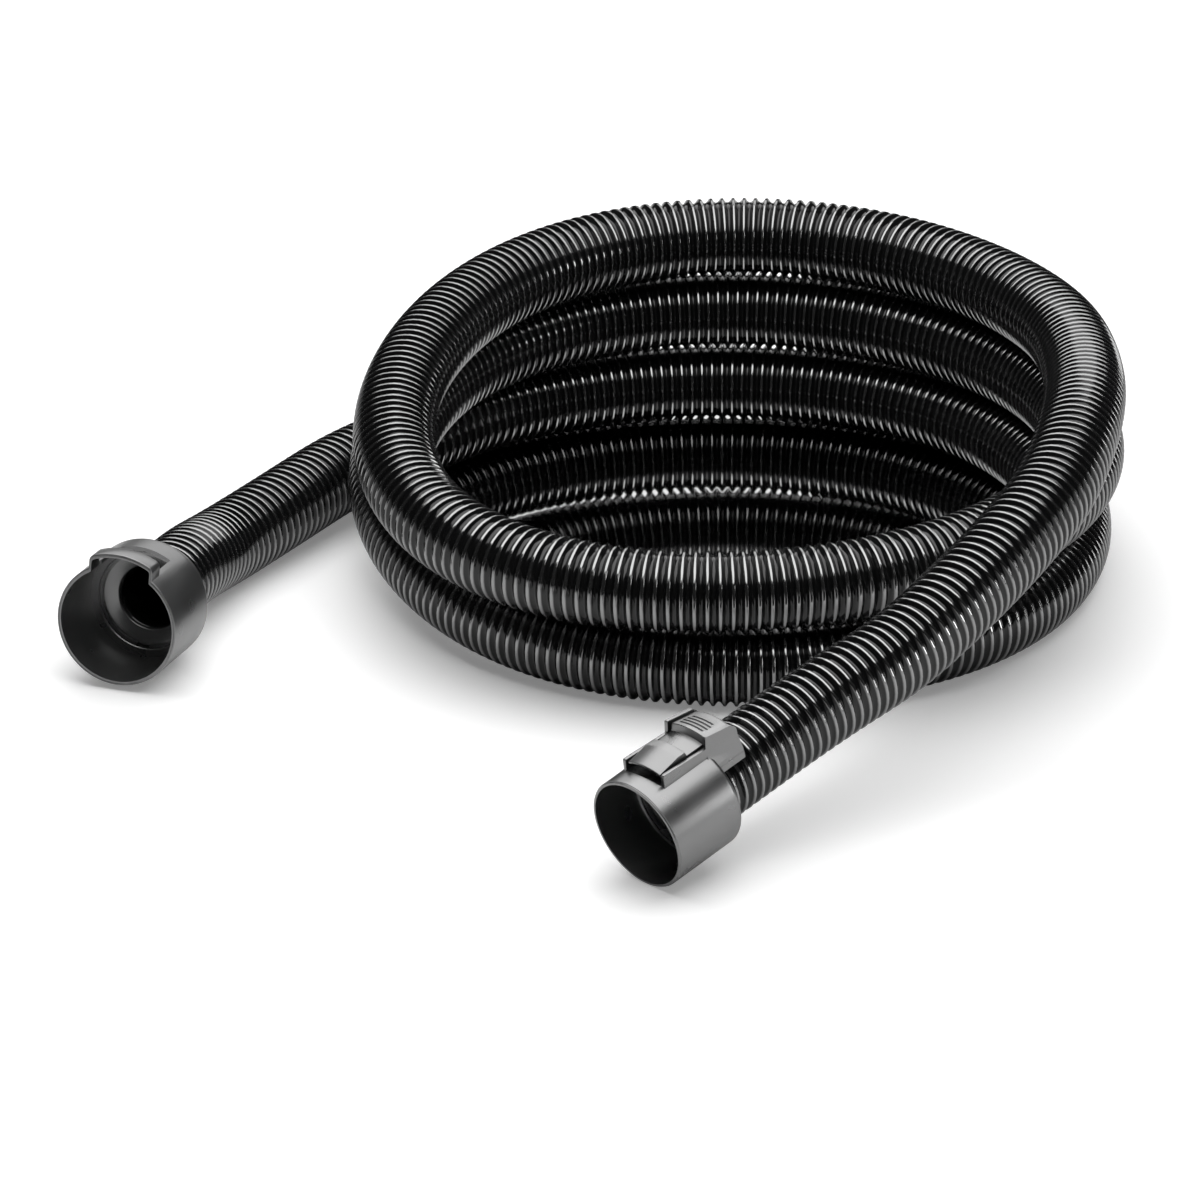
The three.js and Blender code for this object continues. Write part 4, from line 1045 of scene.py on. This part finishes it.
def pale_floor():
    """White matt floor. The camera also sees a little glow on it, more of it further out, so that the open
    floor is white and the shadows stay. Inside the coil it is polished: one minus a smooth step over the
    distance from the patch's centre turns it into a grey mirror, which shows the strands behind."""
    material = bpy.data.materials.new("pale floor")
    material.use_nodes = True
    tree = material.node_tree
    add, join = tree.nodes.new, tree.links.new
    shader = tree.nodes["Principled BSDF"]
    place = add("ShaderNodeTexCoord")
    distance = add("ShaderNodeVectorMath")
    distance.operation = "DISTANCE"
    distance.inputs[1].default_value = tuple(POLISHED_CENTRE)
    polish = add("ShaderNodeMapRange")
    polish.interpolation_type = "SMOOTHSTEP"
    polish.inputs["From Min"].default_value = POLISHED_RADIUS - POLISHED_EDGE
    polish.inputs["From Max"].default_value = POLISHED_RADIUS
    polish.inputs["To Min"].default_value = 1
    polish.inputs["To Max"].default_value = 0
    tint = add("ShaderNodeMapRange")
    tint.inputs["To Min"].default_value = FLOOR_WHITE
    tint.inputs["To Max"].default_value = PATCH_GREY
    rough = add("ShaderNodeMapRange")
    rough.inputs["To Min"].default_value = FLOOR_ROUGH
    rough.inputs["To Max"].default_value = PATCH_ROUGH
    matt = add("ShaderNodeMath")
    matt.operation = "SUBTRACT"
    matt.inputs[0].default_value = 1
    path = add("ShaderNodeLightPath")
    seen = add("ShaderNodeMath")
    seen.operation = "MULTIPLY"
    glow = add("ShaderNodeMapRange")
    glow.inputs["From Min"].default_value = GLOW_RISES_FROM
    glow.inputs["From Max"].default_value = GLOW_RISES_TO
    glow.inputs["To Min"].default_value = GLOW_NEAR
    glow.inputs["To Max"].default_value = GLOW_FAR
    shown = add("ShaderNodeMath")
    shown.operation = "MULTIPLY"
    join(place.outputs["Object"], distance.inputs[0])
    join(distance.outputs["Value"], polish.inputs["Value"])
    join(polish.outputs["Result"], tint.inputs["Value"])
    join(tint.outputs["Result"], shader.inputs["Base Color"])
    join(polish.outputs["Result"], rough.inputs["Value"])
    join(rough.outputs["Result"], shader.inputs["Roughness"])
    join(polish.outputs["Result"], shader.inputs["Metallic"])
    join(polish.outputs["Result"], matt.inputs[1])
    join(path.outputs["Is Camera Ray"], seen.inputs[0])
    join(matt.outputs[0], seen.inputs[1])
    join(distance.outputs["Value"], glow.inputs["Value"])
    join(seen.outputs[0], shown.inputs[0])
    join(glow.outputs["Result"], shown.inputs[1])
    shader.inputs["Emission Color"].default_value = (1, 1, 1, 1)
    join(shown.outputs[0], shader.inputs["Emission Strength"])
    return material


def square_floor():
    """Square floor at height 0."""
    half = FLOOR_SIZE / 2
    mesh = bpy.data.meshes.new("floor")
    mesh.from_pydata([(a, b, 0) for a, b in oblong(-half, half, -half, half)], [], [(0, 1, 2, 3)])
    plane = link("floor", mesh)
    return plane


floor = square_floor()
wear(floor, pale_floor())
print("floor", FLOOR_SIZE, "m wide")

# %% [markdown]
# ## Surround
# Behind the floor the photograph is white, and yet the hose is black. So the camera sees a white surround
# and the object a dim one, which leaves the dark stretches between the highlights dark.

# %% Surround
DIM_SURROUND = 0.04
WHITE_BACKDROP = 1


def white_surround():
    """World that is white for the camera and dim for everything else."""
    world = bpy.data.worlds.new("studio")
    world.use_nodes = True
    tree = world.node_tree
    tree.nodes.clear()
    add, join = tree.nodes.new, tree.links.new
    surround = add("ShaderNodeBackground")
    surround.inputs["Strength"].default_value = DIM_SURROUND
    backdrop = add("ShaderNodeBackground")
    backdrop.inputs["Strength"].default_value = WHITE_BACKDROP
    mix = add("ShaderNodeMixShader")
    path = add("ShaderNodeLightPath")
    out = add("ShaderNodeOutputWorld")
    join(path.outputs["Is Camera Ray"], mix.inputs["Fac"])
    join(surround.outputs[0], mix.inputs[1])
    join(backdrop.outputs[0], mix.inputs[2])
    join(mix.outputs[0], out.inputs["Surface"])
    return world


bpy.context.scene.world = white_surround()
bpy.context.scene.view_settings.view_transform = "Standard"
print("world", bpy.context.scene.world.name)

# %% [markdown]
# ## Lamps
# The hose is black, so it is drawn by what it reflects. A large lamp above gives each rib its bright top, a
# wide one behind draws the upper edges of the strands, and a small one at the right lights the sides of the
# fittings.

# %% Lamps
def from_coil(place):
    """Point so far right, away and up from the coil's centre, as the camera sees it, in metres."""
    right, _, ahead = look_from_coil(VIEW_TURN, 0)
    return Vector(COIL_CENTRE) + right * place[0] + ahead * place[1] + Vector((0, 0, place[2]))


def soft_lamp(name, place, target, width, depth, power):
    """Rectangular lamp at place that faces target, both right, away and up from the coil's centre."""
    data = bpy.data.lights.new(name, "AREA")
    data.shape = "RECTANGLE"
    data.size = width
    data.size_y = depth
    data.energy = power
    lamp = bpy.data.objects.new(name, data)
    bpy.context.scene.collection.objects.link(lamp)
    lamp.location = from_coil(place)
    lamp.rotation_euler = (from_coil(target) - from_coil(place)).to_track_quat("-Z", "Y").to_euler()
    print(name, width, "by", depth, "m,", power, "W")


soft_lamp("top light", place=(0, 0, 1.3), target=(0, 0, 0), width=2.2, depth=1.7, power=33)
soft_lamp("back light", place=(0, 2.2, 1.3), target=(0, 0, 0.1), width=3, depth=1.2, power=17)
soft_lamp("right light", place=(2, -0.5, 0.4), target=(0.1, -0.3, 0.1), width=0.5, depth=0.6, power=6)
